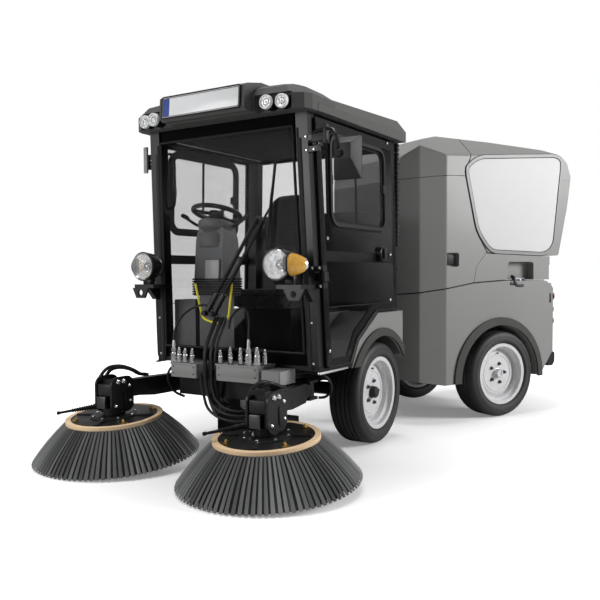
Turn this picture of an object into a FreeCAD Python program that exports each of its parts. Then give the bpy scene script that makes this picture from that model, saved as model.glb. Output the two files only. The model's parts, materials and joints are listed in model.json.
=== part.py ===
"""Compact articulated road sweeper: cab unit in front, hopper unit behind, two disc brushes.

Millimetres and degrees, +Z up. The cab faces -Y and its left side is +X.
Both units are drawn straight, the front one from a point on the ground under its axle,
the rear one from a point on the ground under the steering pivot. The rear unit is then
turned about that pivot, as parked, and all is shifted so that the origin lies on the
ground under the middle of the whole machine.
"""

import FreeCAD, Part
import math
import os
from FreeCAD import Placement, Rotation, Vector

# Driving dimensions of the whole machine
parked_steer = 27.14        # turn of the rear unit seen from above, clockwise
pivot_y = 541               # steering pivot behind the front axle
rear_axle_y = 942           # rear axle behind the pivot
origin_x = 148.2              # middle of the parked machine from the front axle's middle
origin_y = 357.5
clearance = 8               # usual gap round a moving panel

# Wheels
tyre_radius = 292
tyre_width = 195
rim_flange_radius = 207
bead_radius = 190
wheel_x = 439.5             # middle of the tyre from the middle of the machine
axle_z = tyre_radius
spindle_radius = 29.5
disc_face_x = 38            # outer face of the wheel disc from the middle of the tyre

# Cab
floor_z = 490
floor_thickness = 25
cab_top_z = 1765
cab_front_low_y = -698
cab_front_high_y = -765
cab_rear_y = 234
post_inner_x = 472
post_outer_x = 537
door_inner_x = 543
cab_half_width = 558
side_lean = 1.17            # the cab's sides lean in
glass_thickness = 5
lamp_wall_y = -832          # back wall of the recesses for the work lamps
fender_inner_x = 318
fender_top_z = 755
fender_sheet = 10
hinge_axis_x = 573
hinge_axis_y = -674         # at floor level, from there it leans forward with the post
door_hinges = ((905, 1015), (1570, 1650))   # low and high end of each hinge
rear_sill_z = 1360          # lower edge of the rear window
lock_y = -30
lock_z = 1088
front_slope = (cab_front_high_y - cab_front_low_y) / (cab_top_z - floor_z)
front_lean = -math.degrees(math.atan(front_slope))

# Driver's place
driver_x = -140
console_x = -190            # steering column

# Chassis
rail_low_z = 345
rail_high_z = 455
rail_inner_x = 120
rail_outer_x = 180
duct_radius = 58
duct_z = 412
duct_joint_z = 611          # where the duct's two halves meet over the pivot

# Disc brushes
brush_x = 485
brush_y = -1082
brush_ring_z = 232
brush_tilt = 5              # leans forward, so that the front bristles sweep
brush_ring_radius = 249
brush_tip_radius = 432
bristle_drop = 193
arm_pin_x = 400
arm_pin_y = -590
arm_low_z = 345
arm_high_z = 415
arm_length = math.hypot(brush_x - arm_pin_x, brush_y - arm_pin_y)
arm_turn = math.degrees(math.atan2(brush_y - arm_pin_y, brush_x - arm_pin_x))

# Rear unit, its Y counted from the pivot
body_half_width = 545
pod_inner_x = 270
hopper_pin_y = 1420
hopper_pin_z = 1076
gate_pin_y = 1603
gate_pin_z = 1620
hopper_wall = 32
hood_z = 1640
body_rounding = 36


# Shapes ---------------------------------------------------------------------------------

def block(x_low, x_high, y_low, y_high, z_low, z_high):
    return Part.makeBox(x_high - x_low, y_high - y_low, z_high - z_low, Vector(x_low, y_low, z_low))


def bar(start, end, radius):
    """Round bar between two points."""
    start = Vector(*start)
    run = Vector(*end) - start
    return Part.makeCylinder(radius, run.Length, start, run)


def side_plate(outline, x_low, x_high):
    """Plate across the machine, its outline given as (y, z) points."""
    face = Part.Face(Part.makePolygon([Vector(x_low, y, z) for y, z in outline + outline[:1]]))
    return face.extrude(Vector(x_high - x_low, 0, 0))


def level_plate(outline, z_low, z_high):
    """Level plate, its outline given as (x, y) points."""
    face = Part.Face(Part.makePolygon([Vector(x, y, z_low) for x, y in outline + outline[:1]]))
    return face.extrude(Vector(0, 0, z_high - z_low))


def cross_plate(outline, y_low, y_high):
    """Upright plate facing forward, its outline given as (x, z) points."""
    face = Part.Face(Part.makePolygon([Vector(x, y_low, z) for x, z in outline + outline[:1]]))
    return face.extrude(Vector(0, y_high - y_low, 0))


def turned(outline, centre):
    """Body of revolution about an axis along X, its section given as (x, radius) points."""
    points = [centre + Vector(x, 0, radius) for x, radius in outline + outline[:1]]
    return Part.Face(Part.makePolygon(points)).revolve(centre, Vector(1, 0, 0), 360)


def mirrored(shape):
    return shape.mirror(Vector(0, 0, 0), Vector(1, 0, 0))


def both_sides(shape):
    return [shape, mirrored(shape)]


def joined(shapes):
    return shapes[0].multiFuse(shapes[1:]).removeSplitter()


def softened(shape, radius, chosen):
    """Round the edges for which chosen(edge) holds."""
    edges = [edge for edge in shape.Edges if chosen(edge)]
    return shape.makeFillet(radius, edges)


def along_x(edge):
    ends = [vertex.Point for vertex in edge.Vertexes]
    return len(ends) == 2 and abs((ends[1] - ends[0]).normalize().x) > 0.999


def upright(edge):
    ends = [vertex.Point for vertex in edge.Vertexes]
    return len(ends) == 2 and abs((ends[1] - ends[0]).normalize().z) > 0.95


def leaned_in(shape):
    """Lean a left-hand piece of the cab inwards about the outer edge of the floor."""
    leaning = shape.copy()
    leaning.rotate(Vector(cab_half_width, 0, floor_z), Vector(0, 1, 0), -side_lean)
    return leaning


def leaned_forward(shape):
    """Lean a piece that is drawn upright forward with the front posts."""
    leaning = shape.copy()
    leaning.rotate(Vector(0, cab_front_low_y, floor_z), Vector(1, 0, 0), front_lean)
    return leaning


def rounded_window(y_low, y_high, z_low, z_high, radius, x_low, x_high):
    """Block with its four edges along X rounded."""
    return softened(block(x_low, x_high, y_low, y_high, z_low, z_high), radius, along_x)


def hose(route, radius):
    """Round hose or duct through the points of its route: straight runs joined by tangent arcs."""
    points = [Vector(*point) for point in route]
    edges = []
    arc_radii = []
    reached = points[0]
    for before, corner, after in zip(points, points[1:], points[2:]):
        inward = (corner - before).normalize()
        outward = (after - corner).normalize()
        half_turn = inward.getAngle(outward) / 2
        back = 0.45 * min((corner - before).Length, (after - corner).Length)
        arc_radius = back / math.tan(half_turn)
        arc_radii.append(round(arc_radius))
        start = corner - inward * back
        end = corner + outward * back
        to_centre = (outward - inward).normalize()
        middle = corner + to_centre * (arc_radius / math.cos(half_turn) - arc_radius)
        edges.append(Part.makeLine(reached, start))
        edges.append(Part.Arc(start, middle, end).toShape())
        reached = end
    edges.append(Part.makeLine(reached, points[-1]))
    path = Part.Wire(edges)
    section = Part.Wire(Part.makeCircle(radius, points[0], points[1] - points[0]))
    tube = path.makePipeShell([section], True, True)
    filled = tube.Volume / (math.pi * radius ** 2 * path.Length)
    print("hose", 2 * radius, "mm thick,", round(path.Length), "mm long, arcs", arc_radii,
          "mm, volume over section times length", round(filled, 3))
    return tube


# Places ---------------------------------------------------------------------------------

to_origin = Placement(Vector(-origin_x, -origin_y, 0), Rotation())
to_pivot = Placement(Vector(0, pivot_y, 0), Rotation(Vector(0, 0, 1), -parked_steer))
places = {"front": to_origin, "rear": to_origin.multiply(to_pivot)}


def save(name, unit, pieces):
    """Write one node, placed with its unit."""
    shape = pieces[0] if len(pieces) == 1 else Part.makeCompound(pieces)
    placed = shape.copy()
    placed.Placement = places[unit].multiply(shape.Placement)
    assert placed.isValid(), name
    placed.exportStep("parts/" + name + ".step")


# Front chassis --------------------------------------------------------------------------

def front_frame():
    """Rails under the cab, carriers for the couplings and the brush arms, steering tongue behind."""
    rail = block(rail_inner_x, rail_outer_x, -700, 430, rail_low_z, rail_high_z)
    carrier = block(-300, 300, -780, -700, 330, 430)
    bolsters = [block(-300, 300, y, y + 80, rail_high_z, floor_z) for y in (-560, 120)]
    drop = block(-rail_outer_x, rail_outer_x, 400, 430, 270, rail_high_z + 30)
    tongue = block(-60, 60, 400, pivot_y, 270, 300)
    bearing = Part.makeCylinder(60, 70, Vector(0, pivot_y, 250))
    arm_beam = block(-arm_pin_x + 42, arm_pin_x - 42, arm_pin_y - 40, arm_pin_y + 30, arm_low_z, arm_high_z)
    pieces = both_sides(rail) + [carrier, drop, tongue, bearing, arm_beam] + bolsters
    for side in (-1, 1):
        x_low, x_high = sorted((side * (arm_pin_x - 62), side * (arm_pin_x + 40)))
        for z in (arm_low_z - 16, arm_high_z + 1):
            pieces.append(block(x_low, x_high, arm_pin_y - 40, arm_pin_y + 40, z, z + 14))
        pieces.append(bar((side * arm_pin_x, arm_pin_y, arm_low_z - 22),
                          (side * arm_pin_x, arm_pin_y, arm_high_z + 22), 15))
    frame = joined(pieces)
    frame = frame.cut(bar((0, -530, duct_z), (0, 440, duct_z), duct_radius + 6))
    return frame.cut(Part.makeCylinder(25.3, 100, Vector(0, pivot_y, 240)))


def axle(y):
    """Axle tube with hubs and spindles for both wheels."""
    half_track = wheel_x + disc_face_x
    tube = bar((-half_track + 30, y, axle_z), (half_track - 30, y, axle_z), 38)
    spindle = bar((-half_track - 24, y, axle_z), (half_track + 24, y, axle_z), spindle_radius)
    hubs = [bar((side * (half_track - 70), y, axle_z), (side * (half_track - 10), y, axle_z), 62)
            for side in (-1, 1)]
    return joined([tube, spindle] + hubs)


def suction_mouth():
    """Mouth close above the ground, its duct bending up under the floor to the pivot."""
    mouth = block(-215, 215, -560, -380, 30, 190).cut(block(-199, 199, -544, -396, 20, 150))
    hangers = [block(x - 20, x + 20, -480, -460, 190, rail_low_z) for x in (-150, 150)]
    throat = hose([(0, -470, 175), (0, -470, duct_z), (0, pivot_y, duct_z),
                   (0, pivot_y, duct_joint_z - 5)], duct_radius)
    return joined([mouth, throat] + hangers)


# Cab ------------------------------------------------------------------------------------

def cab_floor():
    """Floor, narrower between the wheel boxes and cut round the posts."""
    wide = post_outer_x
    narrow = fender_inner_x - 2
    left = [(wide, cab_front_low_y + 6), (wide, -400), (narrow, -400), (narrow, cab_rear_y - 21)]
    right = [(-x, y) for x, y in reversed(left)]
    return level_plate(left + right, floor_z, floor_z + floor_thickness).cut(Part.makeCompound(cab_posts()))


def cab_posts():
    """Four posts, the front ones leaning forward, with the door hinges' fixed halves."""
    front = side_plate([(cab_front_low_y, floor_z), (cab_front_low_y + 70, floor_z),
                        (cab_front_high_y + 70, cab_top_z + 4), (cab_front_high_y, cab_top_z + 4)],
                       post_inner_x, post_outer_x)
    rear = block(post_inner_x, post_outer_x, cab_rear_y - 66, cab_rear_y, fender_top_z + 2, cab_top_z + 4)
    front = front.cut(block(0, 600, -720, -600, floor_z - 1, floor_z + floor_thickness + 0.5))
    knuckles = []
    for low, high in door_hinges:
        for z_low, z_high in ((low, low + 26), (high - 26, high)):
            knuckles.append(block(post_outer_x - 20, hinge_axis_x + 13, hinge_axis_y - 22,
                                  hinge_axis_y + 14, z_low, z_high))
        knuckles.append(bar((hinge_axis_x, hinge_axis_y, low), (hinge_axis_x, hinge_axis_y, high), 7))
    hinges = [leaned_forward(knuckle) for knuckle in knuckles]
    ceiling = block(0, 700, -900, 400, floor_z, cab_top_z - 0.3)
    front = leaned_in(joined([front] + hinges)).common(ceiling)
    rear = leaned_in(rear).common(ceiling)
    return both_sides(front) + both_sides(rear)


def cab_rails():
    """Header and sill bars between the posts."""
    header_front = side_plate([(cab_front_high_y + 6, cab_top_z), (cab_front_high_y + 56, cab_top_z),
                               (cab_front_high_y + 56 - 60 * front_slope, cab_top_z - 60),
                               (cab_front_high_y + 6 - 60 * front_slope, cab_top_z - 60)],
                              -post_inner_x + 40, post_inner_x - 40)
    header_rear = block(-440, 440, cab_rear_y - 50, cab_rear_y, cab_top_z - 60, cab_top_z)
    sill = block(-post_inner_x + 2, post_inner_x - 2, cab_front_low_y + 8, cab_front_low_y + 48,
                 floor_z + floor_thickness, floor_z + 75)
    header_side = block(454, 506, cab_front_high_y + 78, cab_rear_y - 72, cab_top_z - 52, cab_top_z)
    return [header_front, header_rear, sill] + both_sides(header_side)


def cab_rear_wall():
    """Panel behind the seat, narrower between the wheel boxes."""
    left = [(fender_inner_x - 2, floor_z), (fender_inner_x - 2, fender_top_z + 2),
            (post_inner_x - 8, fender_top_z + 2), (post_inner_x - 8, rear_sill_z)]
    right = [(-x, z) for x, z in reversed(left)]
    wall = cross_plate(left + right, cab_rear_y - 20, cab_rear_y)
    return wall.cut(Part.makeCompound(cab_posts()))


def cab_windows():
    """Windscreen that leans with the posts, and the rear window, both cut along the posts."""
    windscreen = block(-464, 464, cab_front_low_y + 2, cab_front_low_y + 2 + glass_thickness,
                       floor_z + 80, cab_top_z - 62)
    rear_window = block(-450, 450, cab_rear_y - 12, cab_rear_y - 12 + glass_thickness,
                        rear_sill_z + 1, cab_top_z - 61)
    posts = Part.makeCompound(cab_posts())
    return [pane.cut(posts) for pane in (leaned_forward(windscreen), rear_window)]


def plan_layers(levels):
    """Body built up from level or tilted outlines, each a list of (x, y, z) on the left side."""
    sections = []
    for left in levels:
        points = [Vector(*point) for point in left] + [Vector(-x, y, z) for x, y, z in reversed(left)]
        sections.append(Part.makePolygon(points + points[:1]))
    return [Part.makeLoft(list(pair), True, True) for pair in zip(sections, sections[1:])]


def cab_roof():
    """Roof moulding that rises to the rear, with a brow and a plate holder over the windscreen."""
    rear_y = 298
    main = []
    # columns: height at the front, rise to the rear, inset of the sides, inset of the rear
    for front_z, rise, inset, back in ((cab_top_z, 0, 0, 0), (1800, 25, 0, 0), (1850, 43, 42, 34),
                                       (1878, 44, 150, 150)):
        corners = [(480 - inset, -812 + inset), (535 - inset, -775 + inset), (560 - inset, -730 + inset),
                   (560 - inset, rear_y - back)]
        main.append([(x, y, front_z + rise * (y + 812) / (rear_y + 812)) for x, y in corners])
    brow = []
    # columns: height, then x and y of the front's middle, its corner's three points and the end
    for z, corners in ((cab_top_z, ((262, -880), (478, -864), (538, -826), (557, -782), (556, -560))),
                       (1838, ((262, -880), (478, -864), (538, -826), (557, -782), (556, -560))),
                       (1880, ((262, -854), (446, -840), (494, -806), (508, -762), (500, -590))),
                       (1902, ((262, -806), (400, -790), (440, -770), (455, -732), (440, -650)))):
        brow.append([(x, y, z) for x, y in corners])
    holder = side_plate([(-700, 1768), (-925, 1768), (-948, 1782), (-940, 1886), (-918, 1900), (-800, 1924),
                         (-700, 1924)], -272, 272)
    roof = joined(plan_layers(main) + plan_layers(brow) + [holder])
    for recess in both_sides(block(282, 486, -960, lamp_wall_y, cab_top_z - 5, 1845)):
        roof = roof.cut(recess)
    return roof


def work_lamps():
    """Two pairs of round lamps in the roof's recesses."""
    lamps = []
    for x, y in ((363, -892), (441, -874)):
        lamps += both_sides(bar((x, y, 1800), (x, lamp_wall_y, 1800), 34))
    return lamps


def front_fender():
    """Wheel box: side panel, top, ends and inner wall, open to the wheel."""
    outline = [(-392, 479), (-312, 615), (-80, fender_top_z), (252, fender_top_z), (252, 479)]
    hollow = [(-380, 470), (-303, 608), (-76, fender_top_z - fender_sheet),
              (252 - fender_sheet, fender_top_z - fender_sheet), (252 - fender_sheet, 470)]
    box = side_plate(outline, fender_inner_x, cab_half_width)
    box = box.cut(side_plate(hollow, fender_inner_x + fender_sheet, cab_half_width - fender_sheet))
    return box.cut(bar((fender_inner_x + 20, -30, 280), (cab_half_width + 1, -30, 280), 345))


def front_arch_lip():
    """Rubber lip round the front wheel's arch."""
    lip = bar((cab_half_width, -40, 270), (cab_half_width + 12, -40, 270), 400)
    lip = lip.cut(bar((cab_half_width - 1, -30, 280), (cab_half_width + 13, -30, 280), 345))
    return lip.common(side_plate([(-392, 479), (-312, 615), (-80, fender_top_z), (252, fender_top_z),
                                  (252, 479)], cab_half_width, cab_half_width + 12))


def door_outline(inset):
    """Side view of a door, following the wheel box."""
    front_low = -645 + inset
    return [(front_low, 503 + inset), (-415 - inset / 2, 503 + inset), (-325 - inset / 2, 628 + inset),
            (-92 - inset / 3, 768 + inset), (195 - inset, 768 + inset), (195 - inset, 1745 - inset),
            (front_low + front_slope * 1242, 1745 - inset)]


def door_frame():
    """Door frame with an upper and a lower opening, lock and the hinges' moving halves."""
    frame = side_plate(door_outline(0), door_inner_x, cab_half_width - glass_thickness)
    inner = side_plate(door_outline(46), door_inner_x - 1, cab_half_width)
    waist = block(door_inner_x - 2, cab_half_width + 1, -800, 300, 1040, 1092)
    frame = frame.cut(inner.cut(waist))
    lock = bar((door_inner_x, lock_y, lock_z), (cab_half_width + 20, lock_y, lock_z), 42)
    straps = []
    for low, high in door_hinges:
        strap = joined([
            block(door_inner_x + 2, hinge_axis_x, hinge_axis_y, hinge_axis_y + 55, low + 32, high - 32),
            bar((hinge_axis_x, hinge_axis_y, low + 32), (hinge_axis_x, hinge_axis_y, high - 32), 14)])
        bore = bar((hinge_axis_x, hinge_axis_y, low), (hinge_axis_x, hinge_axis_y, high), 7.3)
        straps.append(leaned_forward(strap.cut(bore)))
    return leaned_in(joined([frame, lock] + straps))


def door_glass():
    """Pane over the whole outer face of the door, cut round the hinges and the lock."""
    pane = side_plate(door_outline(4), cab_half_width - glass_thickness, cab_half_width)
    pane = pane.cut(bar((door_inner_x, lock_y, lock_z), (cab_half_width + 20, lock_y, lock_z), 42))
    for low, high in door_hinges:
        notch = block(door_inner_x, hinge_axis_x + 5, hinge_axis_y - 20, hinge_axis_y + 56,
                      low + 31, high - 31)
        pane = pane.cut(leaned_forward(notch))
    return leaned_in(pane)


def outside_mirror():
    """Mirror housing on an arm from the upper hinge of the left front post."""
    housing = softened(block(655, 800, -792, -722, 1420, 1620), 18, upright)
    arm = hose([(528, -735, 1665), (600, -760, 1670), (700, -790, 1668), (728, -770, 1618)], 9)
    return joined([housing, arm])


def lamp_housings():
    """Headlamps with a pod for the indicator on the outer side."""
    bowl = bar((416, -915, 1022), (416, -800, 1022), 78)
    pod = softened(block(440, 545, -880, -790, 962, 1082), 22, upright)
    stem = block(430, 500, -850, -806, 925, 975)
    return both_sides(joined([bowl, pod, stem]))


def lamp_bracket():
    """Plate from the front post to the headlamp, with a lifting eye."""
    shelf = block(400, 540, -870, cab_front_low_y - 24, 905, 925)
    plate = side_plate([(cab_front_low_y - 23, 905), (cab_front_low_y - 23, 840), (-740, 840),
                        (-800, 905)], 500, 530)
    eye = cross_plate([(440, 905), (556, 905), (528, 850), (468, 850)], -870, -858)
    bracket = joined([shelf, plate, eye])
    return bracket.cut(bar((498, -880, 880), (498, -850, 880), 16))


def seat_base():
    return block(driver_x - 170, driver_x + 170, -170, 180, floor_z + floor_thickness, 780)


def seat_cushion():
    return softened(block(driver_x - 225, driver_x + 225, -310, 120, 781, 885), 30, upright)


def seat_back():
    back = softened(block(driver_x - 225, driver_x + 225, 60, 150, 890, 1500), 30, along_x)
    back.rotate(Vector(0, 105, 890), Vector(1, 0, 0), -5)
    return back


def steering_console():
    """Pedestal and column in front of the driver, and a switch box beside it."""
    pedestal = block(console_x - 75, console_x + 75, -648, -530, floor_z + floor_thickness, 860)
    sections = []
    for z, half_x, y_low, y_high in ((860, 100, -664, -500), (965, 100, -660, -500),
                                     (1170, 94, -650, -512), (1240, 80, -640, -525)):
        corners = [(-half_x, y_low), (half_x, y_low), (half_x, y_high), (-half_x, y_high)]
        points = [Vector(console_x + x, y, z) for x, y in corners]
        sections.append(Part.makePolygon(points + points[:1]))
    column = [Part.makeLoft(list(pair), True, True) for pair in zip(sections, sections[1:])]
    switch_box = block(-455, -302, -640, -500, 560, 836)
    return [joined([pedestal] + column), switch_box]


def steering_wheel():
    """Wheel with three spokes, tilted to the driver."""
    wheel_radius = 132
    pieces = [Part.makeTorus(wheel_radius, 13), Part.makeCylinder(42, 68, Vector(0, 0, -62))]
    for turn in (90, 210, 330):
        spoke = bar((0, 0, -6), (wheel_radius, 0, 0), 10)
        spoke.rotate(Vector(0, 0, 0), Vector(0, 0, 1), turn)
        pieces.append(spoke)
    wheel = joined(pieces)
    wheel.rotate(Vector(0, 0, 0), Vector(1, 0, 0), -16)
    wheel.translate(Vector(console_x - 5, -575, 1317))
    return wheel


def connector_boxes():
    """Boxes for the implement's hydraulic and electric couplings on the carrier."""
    boxes = []
    for x_low, x_high, z_high in ((-300, -120, 508), (8, 280, 518), (292, 405, 500)):
        boxes.append(softened(block(x_low, x_high, -852, -706, 432, z_high), 8, upright))
    return boxes


def coupler_hoses():
    """Hoses from the couplings: a bunch down between the boxes, loops under them, high arcs."""
    hoses = []
    # columns: x, how far it bows forward, how low it hangs
    for x, bow, low in ((-92, 0, 352), (-73, 14, 340), (-54, -4, 346), (-35, 12, 346), (-16, 2, 338)):
        hoses.append(hose([(x, -727, 748), (x - 3, -752 - bow, 690), (x + 2, -800 - bow, 628),
                           (x, -824 - bow, 560), (x + 4, -822 - bow, 490), (x, -818 - bow, 420),
                           (x + 2, -806 - bow / 2, low), (x, -766, low - 52), (x, -715, low - 58)], 7))
    # columns: where the loop starts, how wide it is, how far ahead of the first, how much lower
    for x, width, ahead, drop in ((-8, 250, 0, 0), (-30, 294, 17, 20), (-48, 336, 34, 44)):
        hoses.append(hose([(x, -870 - ahead, 470),
                           (x + width * 0.02, -872 - ahead, 404),
                           (x + width * 0.13, -876 - ahead, 338 - drop),
                           (x + width * 0.33, -878 - ahead, 300 - drop),
                           (x + width * 0.56, -872 - ahead, 286 - drop),
                           (x + width * 0.78, -846 - ahead, 284 - drop),
                           (x + width * 0.94, -800 - ahead, 296 - drop / 2),
                           (x + width, -756 - ahead / 2, 320)], 7))
    hoses.append(hose([(-289, -835, 602), (-294, -828, 672), (-276, -802, 744), (-222, -773, 796),
                       (-148, -750, 818), (-92, -738, 790), (-66, -736, 760)], 6))
    hoses.append(hose([(207, -835, 652), (206, -828, 716), (184, -802, 778), (126, -769, 808),
                       (64, -746, 790), (14, -735, 742), (6, -734, 690)], 6))
    hoses.append(hose([(-302, -800, 474), (-338, -801, 476), (-366, -803, 440), (-366, -800, 384),
                       (-340, -778, 332), (-290, -752, 310)], 7))
    hoses.append(hose([(376, -704, 466), (386, -666, 472), (424, -618, 474), (478, -574, 464),
                       (508, -534, 424), (500, -508, 368), (466, -516, 334), (436, -536, 332)], 7))
    return hoses


# Wheels ---------------------------------------------------------------------------------

def rim(side, y):
    """Deep wheel with flanges, drop centre and an inset disc; side is +1 on the left."""
    flange = rim_flange_radius
    bead = bead_radius
    section = [(86, flange), (79, flange), (77, bead + 2), (58, bead - 2), (48, bead - 16),
               (-48, bead - 16), (-58, bead - 2), (-77, bead + 2), (-79, flange), (-86, flange),
               (-84, bead - 5), (-62, bead - 8), (-52, bead - 22), (disc_face_x - 26, bead - 22),
               (disc_face_x - 8, 140),
               (disc_face_x - 8, spindle_radius + 0.5), (disc_face_x, spindle_radius + 0.5),
               (disc_face_x, 138), (disc_face_x - 16, bead - 26), (50, bead - 22), (62, bead - 8),
               (84, bead - 5)]
    return turned([(side * x, radius) for x, radius in section], Vector(side * wheel_x, y, axle_z))


def tyre(side, y):
    """Low tyre round the rim's flanges."""
    half = tyre_width / 2
    bead = bead_radius + 2.5
    section = [(76, bead), (78, rim_flange_radius + 1), (half - 5, rim_flange_radius + 12),
               (half, rim_flange_radius + 32), (half - 4, tyre_radius - 22), (half - 20, tyre_radius - 4),
               (half - 34, tyre_radius)]
    inner = [(60, tyre_radius - 18), (86, tyre_radius - 36), (86, rim_flange_radius + 22), (64, bead)]
    outline = section + [(-x, radius) for x, radius in reversed(section)]
    outline += [(-x, radius) for x, radius in reversed(inner)] + inner
    return turned([(side * x, radius) for x, radius in outline], Vector(side * wheel_x, y, axle_z))


# Disc brushes ---------------------------------------------------------------------------

def on_brush(shape):
    """Place a piece that is drawn round the Z axis at the left brush, tilted forward."""
    placed = shape.copy()
    placed.rotate(Vector(0, 0, 0), Vector(1, 0, 0), brush_tilt)
    placed.translate(Vector(brush_x, brush_y, brush_ring_z))
    return placed


def on_arm(shape):
    """Place a piece that is drawn along the X axis from the arm's pin to the left brush."""
    placed = shape.copy()
    placed.rotate(Vector(0, 0, 0), Vector(0, 0, 1), arm_turn)
    placed.translate(Vector(arm_pin_x, arm_pin_y, 0))
    return placed


def brush_arm():
    """Swinging arm with the brush head, its side plates and the motor."""
    outline = [(0, 350), (58, 350), (84, 326), (260, 322), (arm_length - 40, 342),
               (arm_length - 40, 420), (260, 424), (84, 424), (58, 410), (0, 410)]
    corners = [Vector(run, -27, z) for run, z in outline]
    beam = Part.Face(Part.makePolygon(corners + corners[:1])).extrude(Vector(0, 54, 0))
    beam = on_arm(beam.fuse(block(arm_length - 120, arm_length - 10, -42, 42,
                                  arm_low_z - 10, arm_high_z + 10)))
    barrel = Part.makeCylinder(36, arm_high_z - arm_low_z, Vector(arm_pin_x, arm_pin_y, arm_low_z))
    motor = on_brush(Part.makeCylinder(58, 120, Vector(0, 0, 22)))
    shaft = on_brush(Part.makeCylinder(15, 30, Vector(0, 0, 2)))
    plates = [rounded_window(brush_y - 78, brush_y + 78, 264, 450, 46, brush_x + x, brush_x + x + 12)
              for x in (-62, 50)]
    head = block(brush_x - 62, brush_x + 62, brush_y - 40, brush_y + 40, 370, 430)
    arm = joined([beam, barrel, motor, shaft, head] + plates)
    return arm.cut(Part.makeCylinder(15.3, 200, Vector(arm_pin_x, arm_pin_y, 300)))


def brush_disc():
    """Flat carrier disc of the brush."""
    disc = Part.makeCylinder(brush_ring_radius - 28, 12)
    return on_brush(disc.cut(Part.makeCylinder(15.3, 40, Vector(0, 0, -10))))


def brush_ring():
    """Block ring that holds the bristles."""
    ring = Part.makeCylinder(brush_ring_radius, 24, Vector(0, 0, -12))
    return on_brush(ring.cut(Part.makeCylinder(brush_ring_radius - 27, 40, Vector(0, 0, -20))))


def brush_bristles():
    """Skirt of bristles spreading from the ring to the ground."""
    length = bristle_drop - 12.5
    tips = Vector(0, 0, -bristle_drop)
    outer = Part.makeCone(brush_tip_radius, brush_ring_radius - 3, length, tips)
    inner = Part.makeCone(brush_tip_radius - 75, brush_ring_radius - 40, length, tips)
    return on_brush(outer.cut(inner))


def brush_hoses(fittings):
    """Two pressure hoses from the motor over the head to the arm's top, beside each other.

    The motor's fittings are on the inner side of the left brush, -1, and on the outer side of
    the right one, which is drawn as a left one before it is mirrored, +1.
    """
    start = [Vector(fittings * 80, -30, 318), Vector(fittings * 86, -34, 372)]
    if fittings < 0:
        over = [Vector(-84, -24, 428), Vector(-62, 10, 474), Vector(-44, 56, 480), Vector(-44, 104, 462)]
    else:
        over = [Vector(88, -24, 436), Vector(60, 10, 490), Vector(8, 52, 498), Vector(-34, 102, 474)]
    front = start + over + [Vector(-45, 150, 442), Vector(-51, 196, 437)]
    if fittings < 0:
        beside = [Vector(0, 34, -16), Vector(0, 34, -16), Vector(2, 32, -14), Vector(10, 26, -12),
                  Vector(16, 20, -8), Vector(20, 12, -4)]
    else:
        beside = [Vector(0, 34, -16), Vector(0, 34, -14), Vector(-2, 30, -12), Vector(2, 26, -12),
                  Vector(12, 20, -12), Vector(18, 10, -4)]
    behind = [point + step for point, step in zip(front, beside + [Vector(22, 4, 0), Vector(22, 4, 0)])]
    place = Vector(brush_x, brush_y, 0)
    return [hose([point + place for point in route], 9) for route in (front, behind)]


# Rear unit ------------------------------------------------------------------------------

def rear_plan():
    """Plan of the rear bodywork, its front corners cut back for steering."""
    left = [(300, 120), (472, 259), (body_half_width, 420), (body_half_width, 1620)]
    return left + [(-x, y) for x, y in reversed(left)]


def rear_frame():
    """Rails, front plate and the fork that holds the steering pivot pin."""
    rail = block(rail_inner_x, rail_outer_x, 150, 1400, rail_low_z, rail_high_z)
    front = block(-210, 210, 120, 150, 222, rail_high_z)
    rear = block(-260, 260, 1370, 1400, 330, rail_high_z)
    fork = [block(-60, 60, -45, 120, z, z + 20) for z in (224, 326)]
    fork = [plate.fuse(Part.makeCylinder(60, 20, Vector(0, 0, plate.BoundBox.ZMin))) for plate in fork]
    pin = Part.makeCylinder(25, 136, Vector(0, 0, 217))
    posts = both_sides(block(210, 250, 1330, 1370, 330, 915))
    links = both_sides(block(rail_outer_x, 250, 1330, 1370, 350, 440))
    return joined(both_sides(rail) + [front, rear, pin] + fork + posts + links)


def engine_block():
    return block(-215, 215, 430, 800, 460, 800)


def rear_fender():
    """Side pod with the wheel's well and arch."""
    outline = [(130, 301), (408, 255), (1295, 264), (1420, 430), (1420, 868), (1404, 890), (1349, 923),
               (953, 926), (655, 910), (249, 848), (130, 836)]
    pod = side_plate(outline, pod_inner_x, body_half_width).common(level_plate(rear_plan(), 200, 1000))
    pod = softened(pod, 22, upright_corner)
    pod = pod.cut(bar((320, 905, 270), (600, 905, 270), 358))
    return pod.cut(block(260, 330, 870, 1014, 200, 372))


def upright_corner(edge):
    """Upright edges at the chamfered front corner of the rear bodywork."""
    return upright(edge) and 300 < edge.BoundBox.XMin and edge.BoundBox.YMax < 500


def rear_arch_lip():
    """Rubber lip round the rear wheel's arch, wider at its front foot."""
    lip = bar((body_half_width, 897, 272), (body_half_width + 12, 897, 272), 408)
    lip = lip.cut(bar((body_half_width - 1, 905, 270), (body_half_width + 13, 905, 270), 358))
    return lip.common(block(0, 600, 300, 1420, 258, 900))


def upper_envelope():
    """Outer form of everything above the side pods, before it is split into panels."""
    outline = [(120, 843), (249, 856), (655, 918), (953, 934), (1376, 932), (1376, 1031), (1475, 1113),
               (1563, 1456), (1598, 1663), (1560, 1756), (1479, 1818), (1340, 1850), (910, 1872),
               (470, 1880), (330, 1846), (190, 1730), (120, 1570)]
    body = side_plate(outline, -body_half_width, body_half_width)
    body = body.common(level_plate(rear_plan(), 800, 1900))
    for side in (-1, 1):
        edge = side * (body_half_width + 1)
        start = [Vector(edge, 60, 1713), Vector(edge, 60, 2013), Vector(edge - side * 340, 60, 2013)]
        shoulder = Part.Face(Part.makePolygon(start + start[:1])).extrude(Vector(0, 1600, 99))
        body = body.cut(shoulder)
    return softened(body, body_rounding, rounded_on_body)


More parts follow.
